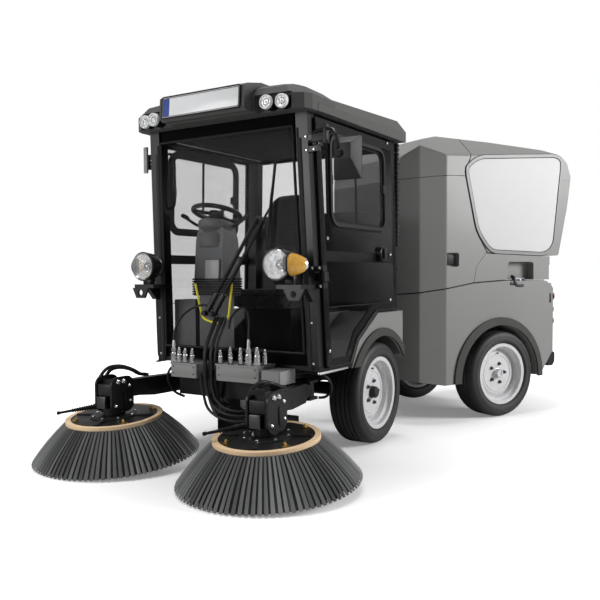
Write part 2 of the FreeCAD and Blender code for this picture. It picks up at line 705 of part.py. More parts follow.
def rounded_on_body(edge):
    """Edges across the top, at the cut front corners, along the shoulders and the ridges."""
    start, end = [vertex.Point for vertex in edge.Vertexes]
    middle = (start + end) / 2
    run = end - start
    crosswise = abs(run.y) < 1 and abs(run.z) < 1 and middle.z > 1500
    corner = abs(run.x) < 1 and abs(run.y) < 1 and middle.y < 430
    shoulder = min(abs(start.x), abs(end.x)) > body_half_width - 1 and middle.z > 1700 and run.Length > 500
    ridge = min(start.z, end.z) > 1840 and abs(run.x) < 80
    return crosswise or corner or shoulder or ridge


def hopper_zone(grow):
    """Side view of what tips, grown by a gap."""
    return [(783 - grow, 1116 - grow), (683 - grow, 1255), (583 - grow, 1640), (640 - grow, 1750),
            (660 - grow, 1950), (1700, 1950), (1700, 1096 - grow)]


def gate_zone(grow):
    """Side view of the tailgate."""
    return [(1447 - grow, 1142 - grow), (1530 - grow, 1456), (1554 - grow, 1604 + grow),
            (1700, 1604 + grow), (1700, 1142 - grow)]


def hopper_hinges(name):
    """Tipping hinge halves along the hopper's rear lower edge."""
    parts = []
    x_low = 300 if name == "base" else 346
    for low in (x_low, -x_low - 40):
        parts.append(bar((low, hopper_pin_y, hopper_pin_z), (low + 40, hopper_pin_y, hopper_pin_z), 17))
        if name == "base":
            parts.append(block(low, low + 40, 1340, hopper_pin_y, hopper_pin_z - 17, hopper_pin_z + 5))
        else:
            parts.append(block(low, low + 40, hopper_pin_y - 17, hopper_pin_y + 17, hopper_pin_z, 1120))
    return parts


def rear_panels():
    """Split the outer form into tank, front cover, hopper base, hopper tub, hood and tailgate."""
    wide = body_half_width + 10
    form = upper_envelope()
    hopper = form.common(side_plate(hopper_zone(0), -wide, wide))
    fixed = form.cut(side_plate(hopper_zone(clearance), -wide, wide))
    base_zone = side_plate([(777, 1120), (684, 1022), (657, 900), (1382, 900), (1382, 1120)],
                           -wide, wide)
    seam_zone = side_plate([(780, 1126), (681, 1023), (653, 895), (1500, 895), (1500, 1126)],
                           -wide, wide)
    base = fixed.common(base_zone)
    for side in (-1, 1):
        base = base.cut(rounded_window(970, 1220, 900, 1055, 24, side * 545 - 60, side * 545 + 60))
    base = joined([base] + hopper_hinges("base"))
    front = fixed.cut(seam_zone)
    tank_zone = side_plate([(0, 800), (900, 800), (900, 1622), (420, 1600), (0, 1560)], -wide, wide)
    gap_zone = side_plate([(0, 800), (900, 800), (900, 1625), (420, 1603), (0, 1563)], -wide, wide)
    tank = front.common(tank_zone)
    cover = front.cut(gap_zone)
    for side in (-1, 1):
        tank = tank.cut(rounded_window(424, 529, 1020, 1110, 14, side * 545 - 34, side * 545 + 34))
    gate = hopper.common(side_plate(gate_zone(0), -455, 455))
    hopper = hopper.cut(side_plate(gate_zone(7), -462, 462))
    gateway = side_plate([(1380, 1165), (1500, 1165), (1600, 1590), (1480, 1590)], -430, 430)
    hopper = hopper.cut(gateway)
    inside = side_plate([(783 + 50, 1118 + hopper_wall), (683 + 44, 1262), (583 + hopper_wall + 8, 1640),
                         (680, 1790), (1470, 1775), (1545, 1700), (1546, 1604), (1520, 1456),
                         (1440, 1118 + hopper_wall)], -body_half_width + hopper_wall,
                        body_half_width - hopper_wall)
    narrow = side_plate([(600, 1100), (1600, 1100), (1600, 1700), (600, 1700)], -wide, wide).fuse(
        side_plate([(600, 1600), (1600, 1600), (1600, 1900), (600, 1900)], -360, 360))
    hopper = hopper.cut(inside.common(narrow))
    tub = hopper.common(block(-wide, wide, 500, 1700, 1100, hood_z - 1))
    tub = joined([tub] + hopper_hinges("hopper"))
    hood = hopper.common(block(-wide, wide, 500, 1700, hood_z, 1900))
    for low in (200, -250):
        gate = gate.fuse(bar((low, gate_pin_y, gate_pin_z), (low + 50, gate_pin_y, gate_pin_z), 11))
        gate = gate.fuse(block(low, low + 50, 1565, gate_pin_y, 1590, gate_pin_z))
    for low in (256, -296):
        tub = tub.fuse(bar((low, gate_pin_y, gate_pin_z), (low + 40, gate_pin_y, gate_pin_z), 11))
        tub = tub.fuse(block(low, low + 40, 1570, gate_pin_y, gate_pin_z - 8, gate_pin_z + 8))
    for low in (200, -250):
        tub = tub.cut(block(low - 6, low + 56, 1500, 1700, 1590, gate_pin_z + 17))
    return {"water_tank": tank, "front_cover": cover, "hopper_base": base, "hopper_tub": tub,
            "hopper_hood": hood, "tailgate": gate}


def side_panel():
    """Light panel on each side of the hopper."""
    outline = [(601, 1674), (703, 1737), (1438, 1801), (1499, 1772), (1415, 1166), (1328, 1112),
               (809, 1125), (692, 1255), (594, 1635)]
    panel = side_plate(outline, body_half_width, body_half_width + 4)
    return softened(panel, 22, along_x)


def rear_bumper():
    bumper = side_plate([(1421, 312), (1470, 312), (1492, 340), (1492, 408), (1421, 408)], -500, 500)
    bumper = bumper.cut(bar((0, 1456, 300), (0, 1456, 420), 13))
    arms = both_sides(block(130, 180, 1400, 1421, 335, 400))
    return joined([bumper] + arms)


def rear_grille():
    return block(-265, 265, 1402, 1418, 470, 860)


def rear_duct():
    """Second half of the suction duct, from the pivot up into the tank housing."""
    return hose([(0, 0, duct_joint_z + 4), (0, 0, 760), (0, 118, 800)], duct_radius)


# Nodes ----------------------------------------------------------------------------------

os.makedirs("parts", exist_ok=True)

save("front_frame", "front", [front_frame()])
save("front_axle", "front", [axle(0)])
save("suction_mouth", "front", [suction_mouth()])
save("cab_floor", "front", [cab_floor()])
save("cab_posts", "front", cab_posts())
save("cab_rails", "front", cab_rails())
save("cab_rear_wall", "front", [cab_rear_wall()])
save("cab_windows", "front", cab_windows())
save("cab_roof", "front", [cab_roof()])
save("work_lamps", "front", work_lamps())
save("headlights", "front", lamp_housings())
save("headlight_brackets", "front", both_sides(lamp_bracket()))
save("left_mirror", "front", [outside_mirror()])
save("seat_base", "front", [seat_base()])
save("seat_cushion", "front", [seat_cushion()])
save("seat_back", "front", [seat_back()])
save("steering_console", "front", steering_console())
save("steering_wheel", "front", [steering_wheel()])
save("connector_boxes", "front", connector_boxes())
save("coupler_hoses", "front", coupler_hoses())
save("front_fenders", "front", both_sides(front_fender()))
save("front_arch_lips", "front", both_sides(front_arch_lip()))

for side_name, flip in (("left", False), ("right", True)):
    pieces = {
        "door_frame": [door_frame()],
        "door_glass": [door_glass()],
        "brush_arm": [brush_arm()],
        "brush_hoses": brush_hoses(1 if flip else -1),
        "brush_disc": [brush_disc()],
        "brush_ring": [brush_ring()],
        "brush_bristles": [brush_bristles()],
    }
    for piece_name, shapes in pieces.items():
        if flip:
            shapes = [mirrored(shape) for shape in shapes]
        save(side_name + "_" + piece_name, "front", shapes)

for unit_name, axle_y in (("front", 0), ("rear", rear_axle_y)):
    for side_name, side_sign in (("left", 1), ("right", -1)):
        save(unit_name + "_" + side_name + "_rim", unit_name, [rim(side_sign, axle_y)])
        save(unit_name + "_" + side_name + "_tyre", unit_name, [tyre(side_sign, axle_y)])

save("rear_frame", "rear", [rear_frame()])
save("rear_axle", "rear", [axle(rear_axle_y)])
save("engine_block", "rear", [engine_block()])
save("rear_fenders", "rear", both_sides(rear_fender()))
save("rear_arch_lips", "rear", both_sides(rear_arch_lip()))
save("rear_bumper", "rear", [rear_bumper()])
save("rear_grille", "rear", [rear_grille()])
save("rear_duct", "rear", [rear_duct()])
for panel_name, panel_shape in rear_panels().items():
    save(panel_name, "rear", [panel_shape])
save("hopper_side_panels", "rear", both_sides(side_panel()))
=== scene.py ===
import json
import math
import bpy
import bmesh
from mathutils import Matrix, Vector
from mathutils.bvhtree import BVHTree


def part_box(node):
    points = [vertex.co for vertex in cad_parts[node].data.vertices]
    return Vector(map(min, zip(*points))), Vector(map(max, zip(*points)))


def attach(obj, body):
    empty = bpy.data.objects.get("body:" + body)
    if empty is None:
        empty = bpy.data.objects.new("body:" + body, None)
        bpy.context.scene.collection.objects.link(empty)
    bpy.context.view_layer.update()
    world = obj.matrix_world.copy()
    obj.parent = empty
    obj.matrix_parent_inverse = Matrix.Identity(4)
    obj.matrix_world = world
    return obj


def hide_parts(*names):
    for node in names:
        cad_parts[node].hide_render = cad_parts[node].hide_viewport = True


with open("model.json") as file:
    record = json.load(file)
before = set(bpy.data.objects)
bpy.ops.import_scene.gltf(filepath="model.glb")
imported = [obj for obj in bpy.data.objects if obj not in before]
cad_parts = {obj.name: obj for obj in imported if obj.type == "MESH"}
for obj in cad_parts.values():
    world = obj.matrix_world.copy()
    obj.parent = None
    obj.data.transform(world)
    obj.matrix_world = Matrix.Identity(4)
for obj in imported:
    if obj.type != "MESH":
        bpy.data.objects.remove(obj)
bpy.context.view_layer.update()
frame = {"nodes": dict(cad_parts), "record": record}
scene = bpy.context.scene
view = bpy.context.view_layer
bothHands = (("left", 1), ("right", -1))


# Every piece is drawn in metres in its own unit: the cab unit from the ground under its axle,
# the rear unit from the ground under the steering pivot, +Y to the rear and +X to the left.
def middleOf(node):
    low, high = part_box(node)
    return (low + high) / 2


def unitPlaces():
    axle = middleOf("front_axle")
    rearAxle = middleOf("rear_axle")
    pivot = next(joint["pos_m"] for joint in frame["record"]["behaviour"]["joints"]
                 if joint["name"] == "steering_pivot")
    turn = math.atan2(pivot[0] - rearAxle.x, rearAxle.y - pivot[1])
    front = Matrix.Translation((axle.x, axle.y, 0))
    rear = Matrix.Translation((pivot[0], pivot[1], 0)) @ Matrix.Rotation(turn, 4, "Z")
    return front, rear


frontPlace, rearPlace = unitPlaces()


def turned(degrees, axis, about=(0, 0, 0)):
    there = Matrix.Translation(about)
    return there @ Matrix.Rotation(math.radians(degrees), 4, axis) @ there.inverted()


class Wire:  # one socket that can be calculated with
    def __init__(self, graph, socket):
        self.graph = graph
        self.socket = socket

    def __add__(self, other):
        return self.graph.maths("ADD", self, other)

    def __radd__(self, other):
        return self.graph.maths("ADD", other, self)

    def __sub__(self, other):
        return self.graph.maths("SUBTRACT", self, other)

    def __rsub__(self, other):
        return self.graph.maths("SUBTRACT", other, self)

    def __mul__(self, other):
        return self.graph.maths("MULTIPLY", self, other)

    def __rmul__(self, other):
        return self.graph.maths("MULTIPLY", other, self)

    def __truediv__(self, other):
        return self.graph.maths("DIVIDE", self, other)

    def __gt__(self, other):
        return self.graph.maths("GREATER_THAN", self, other)

    def __lt__(self, other):
        return self.graph.maths("LESS_THAN", self, other)


class Graph:  # a node tree, of a material, of the world or of Geometry Nodes
    def __init__(self, tree):
        self.tree = tree

    def node(self, kind, settings=None, values=None, output=0):
        made = self.tree.nodes.new(kind)
        for key, value in (settings or {}).items():
            setattr(made, key, value)
        for key, value in (values or {}).items():
            if isinstance(value, Wire):
                self.tree.links.new(value.socket, made.inputs[key])
            else:
                made.inputs[key].default_value = value
        return Wire(self, made.outputs[output]) if made.outputs else None

    def maths(self, operation, first, second=0.0):
        return self.node("ShaderNodeMath", {"operation": operation}, {0: first, 1: second})

    def mix(self, factor, first, second):
        return self.node("ShaderNodeMix", {"data_type": "RGBA"}, {0: factor, 6: first, 7: second}, 2)

    def clamp(self, value):
        return self.node("ShaderNodeClamp", None, {0: value})

    def part(self, vector, axis):
        return self.node("ShaderNodeSeparateXYZ", None, {0: vector}, axis)

    def noise(self, vector, scale, detail=3.0):
        return self.node("ShaderNodeTexNoise", None, {"Vector": vector, "Scale": scale, "Detail": detail})

    def stretch(self, vector, scale):
        return self.node("ShaderNodeMapping", None, {"Vector": vector, "Scale": scale})

    def bands(self, vector, axis, values):
        return self.node("ShaderNodeTexWave", {"bands_direction": axis}, {"Vector": vector, **values}, 1)

    def bump(self, height, depth, strength):
        return self.node("ShaderNodeBump", None, {"Strength": strength, "Distance": depth, "Height": height})

    def ray(self, kind):
        return self.node("ShaderNodeLightPath", output="Is " + kind + " Ray")


def shade(colour, factor):
    return (*(min(1, part * factor) for part in colour), 1)


def grey(tone):
    return (tone, tone, tone, 1)


# Each look takes a graph, the piece's own coordinates and a table row, and gives the shader's values
def makeFinish(name, look, row=None):
    material = bpy.data.materials.new(name)
    material.use_nodes = True
    material.node_tree.nodes.clear()
    graph = Graph(material.node_tree)
    values = look(graph, graph.node("ShaderNodeTexCoord", output="Object"), row)
    shader = graph.node("ShaderNodeBsdfPrincipled", None, values)
    graph.node("ShaderNodeOutputMaterial", None, {"Surface": shader})
    return material


# Paints, plastics and rubbers: colour, how much it varies, roughness and how much that varies, clear
# coat, clouds and grains per metre, grain depth in millimetres, road dust on low parts, and gloss
paintColumns = ("colour", "spread", "rough", "roughSpread", "coat", "cloud", "grain", "depth", "dust",
                "gloss")
paintRows = {
    "bodyPaint": ((0.236, 0.2345, 0.23), 0.05, 0.42, 0.06, 0.05, 2.2, 420, 0.05, 0.06, 0.3),
    "cabPaint": ((0.01, 0.0104, 0.0114), 0.12, 0.32, 0.08, 0, 3, 500, 0.012, 0.03, 0.3),
    "chassisPaint": ((0.008, 0.008, 0.009), 0.4, 0.46, 0.14, 0, 5, 260, 0.12, 0.06, 0.2),
    "roofPlastic": ((0.105, 0.104, 0.102), 0.07, 0.62, 0.06, 0, 2.6, 700, 0.08, 0, 0.15),
    "lipRubber": ((0.027, 0.026, 0.023), 0.18, 0.66, 0.1, 0, 6, 900, 0.12, 0.12, 0.5),
    "rimPaint": ((0.66, 0.66, 0.67), 0.03, 0.28, 0.06, 0.3, 6, 350, 0.03, 0.05, 0.5),
    "lampBlack": ((0.006, 0.006, 0.006), 0.2, 0.3, 0.08, 0.05, 9, 800, 0.04, 0, 0.25),
    "boxPlastic": ((0.3, 0.3, 0.297), 0.1, 0.56, 0.08, 0, 7, 900, 0.14, 0.04, 0.5),
    "consolePlastic": ((0.15, 0.152, 0.158), 0.1, 0.6, 0.06, 0, 5, 1000, 0.14, 0, 0.5),
    "seatShell": ((0.02, 0.02, 0.02), 0.2, 0.55, 0.08, 0, 6, 900, 0.12, 0, 0.25),
    "gripBlack": ((0.022, 0.022, 0.023), 0.2, 0.5, 0.08, 0, 9, 1200, 0.15, 0, 0.25),
    "brushSteel": ((0.007, 0.007, 0.008), 0.4, 0.36, 0.14, 0, 9, 420, 0.08, 0.08, 0.25),
    "ringTan": ((0.97, 0.68, 0.42), 0.1, 0.5, 0.08, 0.05, 14, 300, 0.12, 0, 0.5),
    "hoseRubber": ((0.017, 0.017, 0.018), 0.25, 0.42, 0.1, 0.05, 22, 900, 0.12, 0, 0.25),
    "panelWhite": ((0.6, 0.6, 0.6), 0.02, 0.45, 0.05, 0, 2, 300, 0.03, 0, 0.2),
    "engineIron": ((0.05, 0.05, 0.05), 0.4, 0.6, 0.12, 0, 9, 160, 0.5, 0.1, 0.5),
    "plateWhite": ((0.94, 0.95, 0.96), 0.02, 0.32, 0.05, 0.2, 8, 1600, 0.05, 0, 0.5),
    "plateBlue": ((0.018, 0.06, 0.34), 0.06, 0.34, 0.05, 0.2, 8, 1600, 0.05, 0, 0.5),
    "tubeYellow": ((0.92, 0.8, 0.02), 0.08, 0.35, 0.08, 0.2, 12, 600, 0.06, 0, 0.5),
    "tailRed": ((0.55, 0.015, 0.012), 0.12, 0.2, 0.05, 0.5, 20, 260, 0.35, 0, 0.5),
    "amberLens": ((0.98, 0.45, 0.06), 0.3, 0.1, 0.05, 0.8, 60, 170, 1.2, 0, 0.5),
    "badgeGrey": ((0.42, 0.42, 0.43), 0.06, 0.4, 0.08, 0.1, 16, 900, 0.05, 0, 0.5),
    "mirrorPlastic": ((0.03, 0.03, 0.032), 0.12, 0.5, 0.06, 0, 8, 800, 0.04, 0, 0.22),
    # roof lining and rails: their own black, darkened further as painted shade under the roof
    "liningBlackPaintedShade": ((0.0016, 0.0016, 0.002), 0.2, 0.8, 0.08, 0, 7, 900, 0.05, 0, 0.06),
    "rubberBlack": ((0.007, 0.007, 0.0075), 0.25, 0.5, 0.08, 0, 14, 1000, 0.12, 0, 0.25),
}


def paintLook(graph, place, values):
    row = dict(zip(paintColumns, values))
    cloud = graph.noise(place, row["cloud"], 4.0)
    grain = graph.noise(place, row["grain"], 2.0)
    colour = graph.mix(cloud, shade(row["colour"], 1 - row["spread"]),
                       shade(row["colour"], 1 + row["spread"]))
    speck = graph.clamp((grain - 0.62) * 6.0)
    colour = graph.mix(speck * row["spread"] * 0.6, colour, shade(row["colour"], 1.6))
    if row["dust"]:
        low = graph.clamp(1.0 - graph.part(place, 2) / 0.75)
        colour = graph.mix(low * low * graph.clamp(cloud * 1.6 - 0.3) * row["dust"], colour,
                           (0.33, 0.30, 0.26, 1))
    rough = row["rough"] + (cloud - 0.5) * row["roughSpread"] * 2.0 + speck * 0.05
    return {"Base Color": colour, "Roughness": rough, "Coat Weight": row["coat"], "Coat Roughness": 0.12,
            "Specular IOR Level": row["gloss"], "Normal": graph.bump(grain, row["depth"] / 1000, 0.6)}


metalColumns = ("colour", "rough", "streak", "depth")
metalRows = {
    "chrome": ((0.78, 0.78, 0.79), 0.12, 40, 0.03),
    "zincPlate": ((0.60, 0.60, 0.60), 0.28, 90, 0.06),
    "aluminium": ((0.62, 0.62, 0.63), 0.38, 120, 0.05),
    "brass": ((0.62, 0.42, 0.14), 0.26, 80, 0.06),
    "darkSteel": ((0.07, 0.07, 0.075), 0.34, 80, 0.08),
}


def metalLook(graph, place, values):
    row = dict(zip(metalColumns, values))
    streak = graph.noise(graph.stretch(place, (row["streak"], row["streak"], 12)), 4.0)
    stain = graph.noise(place, 30.0)
    colour = graph.mix(stain, shade(row["colour"], 0.82), shade(row["colour"], 1.12))
    return {"Base Color": colour, "Metallic": 1.0,
            "Roughness": row["rough"] + (streak - 0.5) * 0.14 + (stain - 0.5) * 0.10,
            "Normal": graph.bump(streak, row["depth"] / 1000, 0.5)}


glassColumns = ("colour", "alpha", "rough", "gloss")
glassRows = {
    "clearGlass": ((0.012, 0.0125, 0.013), 0.11, 0.03, 0.14),
    "doorGlass": ((0.006, 0.0065, 0.007), 0.20, 0.03, 0.22),
    "lampLens": ((0.86, 0.87, 0.88), 0.26, 0.04, 0.8),
}


def glassLook(graph, place, values):  # thin tinted panes with faint streaks from wiping
    row = dict(zip(glassColumns, values))
    film = graph.noise(graph.stretch(place, (2.0, 2.0, 9.0)), 3.0)
    return {"Base Color": graph.mix(film, shade(row["colour"], 0.9), shade(row["colour"], 1.15)),
            "Roughness": row["rough"] + graph.clamp(film - 0.45) * 0.12, "IOR": 1.45,
            "Alpha": row["alpha"] + (film - 0.5) * 0.05, "Specular IOR Level": row["gloss"]}


def tyreLook(graph, place, row):  # sipes across the ribs and fine rings on the walls, along the tyre's UV map
    uv = graph.node("ShaderNodeUVMap", {"uv_map": "roundTheWheel"})
    around, across = graph.part(uv, 0), graph.part(uv, 1)
    noise = graph.noise(place, 14.0, 4.0)
    tread = (across > 0.36) * (across < 0.64)
    slant = graph.maths("FRACT", around * 76.0 + across * 3.0)
    sipe = graph.clamp(1.0 - graph.maths("ABSOLUTE", slant - 0.5) * 11.0) * tread
    rings = graph.maths("SINE", across * 420.0) * 0.5 * (1.0 - tread)
    colour = graph.mix(noise, (0.012, 0.012, 0.0125, 1), (0.027, 0.0265, 0.026, 1))
    colour = graph.mix(sipe * 0.7, colour, grey(0.004))
    foot = graph.clamp(1.0 - graph.part(place, 2) / 0.10)
    colour = graph.mix(foot * noise * 0.25, colour, (0.12, 0.11, 0.10, 1))
    return {"Base Color": colour, "Roughness": 0.56 + (noise - 0.5) * 0.2,
            "Normal": graph.bump(rings * 0.25 - sipe, 0.002, 0.8)}


def bristleLook(graph, place, row):  # each strip has its own tone, with fine streaks
    tone = graph.node("ShaderNodeAttribute", {"attribute_name": "tone"}, output="Fac")
    fine = graph.noise(place, 260.0, 2.0)
    worn = graph.clamp(1.0 - graph.part(place, 2) / 0.05)
    factor = graph.clamp(tone + (fine - 0.5) * 0.35 + worn * 0.08)
    return {"Base Color": graph.mix(factor, (0.004, 0.0045, 0.005, 1), (0.270, 0.276, 0.276, 1)),
            "Roughness": 0.42 + fine * 0.2}


def clothLook(graph, place, row):  # plain weave of two crossing threads
    warp, weft, rise = (graph.bands(place, axis, {"Scale": 190.0, "Distortion": 0.6}) for axis in "XYZ")
    weave = warp * weft + rise * 0.5
    cloud = graph.noise(place, 16.0, 4.0)
    colour = graph.mix(graph.clamp(weave * 0.6 + cloud * 0.4), (0.014, 0.014, 0.016, 1),
                       (0.05, 0.05, 0.055, 1))
    return {"Base Color": colour, "Roughness": 0.85 + (cloud - 0.5) * 0.1, "Sheen Weight": 0.25,
            "Normal": graph.bump(weave, 0.0006, 0.7)}


def reflectorLook(graph, place, row):  # bright facets pressed into the lamp's bowl, with a faint glow of painted light, as the lamps are off
    facet, cell = (graph.node("ShaderNodeTexVoronoi", {"distance": "CHEBYCHEV"},
                              {"Vector": place, "Scale": 95.0}, output) for output in (0, 1))
    tone = graph.part(cell, 0)
    colour = graph.mix(graph.clamp(tone * 1.4 - 0.2), (0.42, 0.42, 0.43, 1), grey(1))
    # the emission is painted light: a glow on the unlit reflector
    return {"Base Color": colour, "Metallic": 1.0, "Roughness": 0.10 + tone * 0.1, "Emission Color": colour,
            "Emission Strength": 0.30, "Normal": graph.bump(facet, 0.003, 0.9)}


def ductLook(graph, place, row):  # ribbed rubber hose, its colour lighter on the ribs and darker between them: painted shade
    ribs = graph.bands(place, "Z", {"Scale": 18.0})
    noise = graph.noise(place, 30.0)
    return {"Base Color": graph.mix(ribs * 0.6 + noise * 0.3, (0.010, 0.010, 0.011, 1),
                                    (0.04, 0.04, 0.042, 1)),
            "Roughness": 0.5 + (noise - 0.5) * 0.2, "Normal": graph.bump(ribs, 0.006, 1.0)}


finishes = {name: makeFinish(name, look, row)
            for look, rows in ((paintLook, paintRows), (metalLook, metalRows), (glassLook, glassRows))
            for name, row in rows.items()}
for name, look in (("tyreRubber", tyreLook), ("bristleStrip", bristleLook), ("seatCloth", clothLook),
                   ("reflector", reflectorLook), ("ductRubber", ductLook)):
    finishes[name] = makeFinish(name, look)

nodeFinishes = {
    "chassisPaint": "front_frame front_axle suction_mouth cab_floor rear_frame rear_axle rear_bumper "
                    "rear_grille",
    "cabPaint": "cab_posts cab_rear_wall headlight_brackets left_door_frame right_door_frame",
    # the rails take the near black that partly paints the shade under the roof
    "liningBlackPaintedShade": "cab_rails",
    "clearGlass": "cab_windows",
    "doorGlass": "left_door_glass right_door_glass",
    "roofPlastic": "cab_roof",
    "lampBlack": "work_lamps headlights left_mirror",
    "seatShell": "seat_base",
    "seatCloth": "seat_cushion seat_back",
    "consolePlastic": "steering_console",
    "gripBlack": "steering_wheel",
    "boxPlastic": "connector_boxes",
    "hoseRubber": "coupler_hoses left_brush_hoses right_brush_hoses",
    "bodyPaint": "front_fenders rear_fenders water_tank front_cover hopper_base hopper_tub "
                 "hopper_hood tailgate",
    "lipRubber": "front_arch_lips rear_arch_lips",
    "panelWhite": "hopper_side_panels",
    "rimPaint": "front_left_rim front_right_rim rear_left_rim rear_right_rim",
    "tyreRubber": "front_left_tyre front_right_tyre rear_left_tyre rear_right_tyre",
    "brushSteel": "left_brush_arm right_brush_arm left_brush_disc right_brush_disc",
    "ringTan": "left_brush_ring right_brush_ring",
    "bristleStrip": "left_brush_bristles right_brush_bristles",
    "engineIron": "engine_block",
    "ductRubber": "rear_duct",
}
for finishName, nodeNames in nodeFinishes.items():
    for nodeName in nodeNames.split():
        for materialSlot in frame["nodes"][nodeName].material_slots:
            materialSlot.material = finishes[finishName]
print("finishes ready:", len(finishes))


def onPlane(across, a, b, level):  # a point of a flat outline, at a level along the third axis
    return {"x": (level, a, b), "y": (a, level, b), "z": (a, b, level)}[across]


def evaluated(holder):  # the mesh that an object's modifiers or its curve make
    view.update()
    return bpy.data.meshes.new_from_object(holder.evaluated_get(bpy.context.evaluated_depsgraph_get()))


def shown(name, data):
    holder = bpy.data.objects.new(name, data)
    scene.collection.objects.link(holder)
    return holder


def smoothed(drawn, sharp=30):
    drawn.polygons.foreach_set("use_smooth", [True] * len(drawn.polygons))
    drawn.set_sharp_from_angle(angle=math.radians(sharp))
    return drawn


class Shape:  # a piece while it is drawn; every face takes the finish named last
    def __init__(self):
        self.mesh = bmesh.new()
        self.uv = self.mesh.loops.layers.uv.new("roundTheWheel")
        self.names = []

    def use(self, name):
        if name not in self.names:
            self.names.append(name)
        self.current = self.names.index(name)
        return self

    def mark(self, before):  # gives every face that wasn't there before the finish named last
        for face in set(self.mesh.faces) - before:
            face.material_index = self.current
        return self

    def soften(self, edges, offset):
        bmesh.ops.bevel(self.mesh, geom=list(set(edges)), offset=offset, segments=2, profile=0.6,
                        affect="EDGES")

    def walls(self, rings, looped=False):  # quads between rings of equally many points
        for first, second in zip(rings, rings[1:] + (rings[:1] if looped else [])):
            for step in range(len(first)):
                after = (step + 1) % len(first)
                self.mesh.faces.new([first[step], first[after], second[after], second[step]])

    def box(self, low, high, bevel=0.0, turn=None):
        before = set(self.mesh.faces)
        corners = bmesh.ops.create_cube(self.mesh, size=1)["verts"]
        size = Vector(high) - Vector(low)
        place = Matrix.Translation((Vector(low) + Vector(high)) / 2)
        if turn:
            place = place @ turn
        bmesh.ops.transform(self.mesh, matrix=place @ Matrix.Diagonal((*size, 1)), verts=corners)
        if bevel:
            self.soften([edge for corner in corners for edge in corner.link_edges], bevel)
        return self.mark(before)

    def lathe(self, profile, start, axis, sides=32, looped=False):
        # profile: (distance along the axis, radius) points
        before = set(self.mesh.faces)
        axis = Vector(axis).normalized()
        side = axis.orthogonal().normalized()
        if abs(axis.z) < 0.9:
            side = (Vector((0, 0, 1)) - axis * axis.z).normalized()
        other = axis.cross(side)
        rings = []
        for along, radius in profile:
            centre = Vector(start) + axis * along
            if radius < 1e-6:
                rings.append([self.mesh.verts.new(centre)] * sides)
                continue
            turns = [math.radians(360 * step / sides) for step in range(sides)]
            spokes = [math.cos(turn) * side + math.sin(turn) * other for turn in turns]
            rings.append([self.mesh.verts.new(centre + radius * spoke) for spoke in spokes])
        pairs = list(zip(rings, rings[1:])) + ([(rings[-1], rings[0])] if looped else [])
        for row, (first, second) in enumerate(pairs):
            for step in range(sides):
                after = (step + 1) % sides
                corners = [first[step], first[after], second[after], second[step]]
                single = list(dict.fromkeys(corners))
                if len(single) < 3:
                    continue
                for loop in self.mesh.faces.new(single).loops:
                    spot = corners.index(loop.vert)
                    loop[self.uv].uv = ((step + (spot in (1, 2))) / sides,
                                        (row + (spot in (2, 3))) / len(pairs))
        return self.mark(before)

    def plate(self, outline, low, high, across="y", bevel=0.0):
        # flat plate: its outline lies in the two other axes
        before = set(self.mesh.faces)
        bottom, top = ([self.mesh.verts.new(onPlane(across, a, b, level)) for a, b in outline]
                       for level in (low, high))
        ends = [self.mesh.faces.new(bottom), self.mesh.faces.new(top)]
        self.walls([bottom, top])
        if bevel:
            self.soften([edge for face in ends for edge in face.edges], bevel)
        return self.mark(before)

    def band(self, outline, inner, low, high, across="x"):
        # flat ring between two outlines of equally many points
        before = set(self.mesh.faces)
        self.walls([[self.mesh.verts.new(onPlane(across, a, b, level)) for a, b in line]
                    for line, level in ((outline, low), (outline, high), (inner, high), (inner, low))], True)
        return self.mark(before)

    def tube(self, points, radius, kind="NURBS", closed=False):
        curve = bpy.data.curves.new("run", "CURVE")
        curve.dimensions = "3D"
        curve.bevel_depth = radius
        curve.bevel_resolution = 3
        curve.resolution_u = 6
        curve.use_fill_caps = True
        spline = curve.splines.new(kind)
        spline.points.add(len(points) - 1)
        for place, point in zip(spline.points, points):
            place.co = (*point, 1)
        spline.use_cyclic_u = closed
        if kind == "NURBS":
            spline.order_u = 3
            spline.use_endpoint_u = not closed
        holder = shown("run", curve)
        self.merge(evaluated(holder))
        bpy.data.objects.remove(holder)
        return self

    def merge(self, drawn):
        before = set(self.mesh.faces)
        self.mesh.from_mesh(drawn)
        bpy.data.meshes.remove(drawn)
        return self.mark(before)

    def copied(self):
        drawn = bpy.data.meshes.new("copy")
        self.mesh.to_mesh(drawn)
        return drawn

    def transform(self, matrix):
        bmesh.ops.transform(self.mesh, matrix=matrix, verts=self.mesh.verts[:])
        return self

    def bothSides(self):
        half = self.copied()
        half.transform(Matrix.Scale(-1, 4, (1, 0, 0)))
        self.mesh.from_mesh(half)
        bpy.data.meshes.remove(half)
        return self

    def toMesh(self, name, place=Matrix(), sharp=34):
        bmesh.ops.remove_doubles(self.mesh, verts=self.mesh.verts[:], dist=0.00002)
        bmesh.ops.recalc_face_normals(self.mesh, faces=self.mesh.faces[:])
        self.transform(place)
        drawn = self.copied()
        self.mesh.free()
        drawn.name = name
        for finishName in self.names:
            drawn.materials.append(finishes[finishName])
        return smoothed(drawn, sharp)


def ridePiece(name, drawn, body):
    piece = shown(name, drawn)
    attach(piece, body)
    return piece


def finishShape(shape, name, body, place=frontPlace, sharp=34):
    return ridePiece(name, shape.toMesh(name, place, sharp), body)


# Outline of a turned stud: a round or hexagonal bar with an edge cut off its free end
def stud(radius, height, edge=0.0, narrower=0.0, start=0.0):
    end = [(height, 0)] if not edge else [(height, radius - narrower), (height, 0)]
    return [(start, 0), (start, radius), (height - edge, radius)] + end


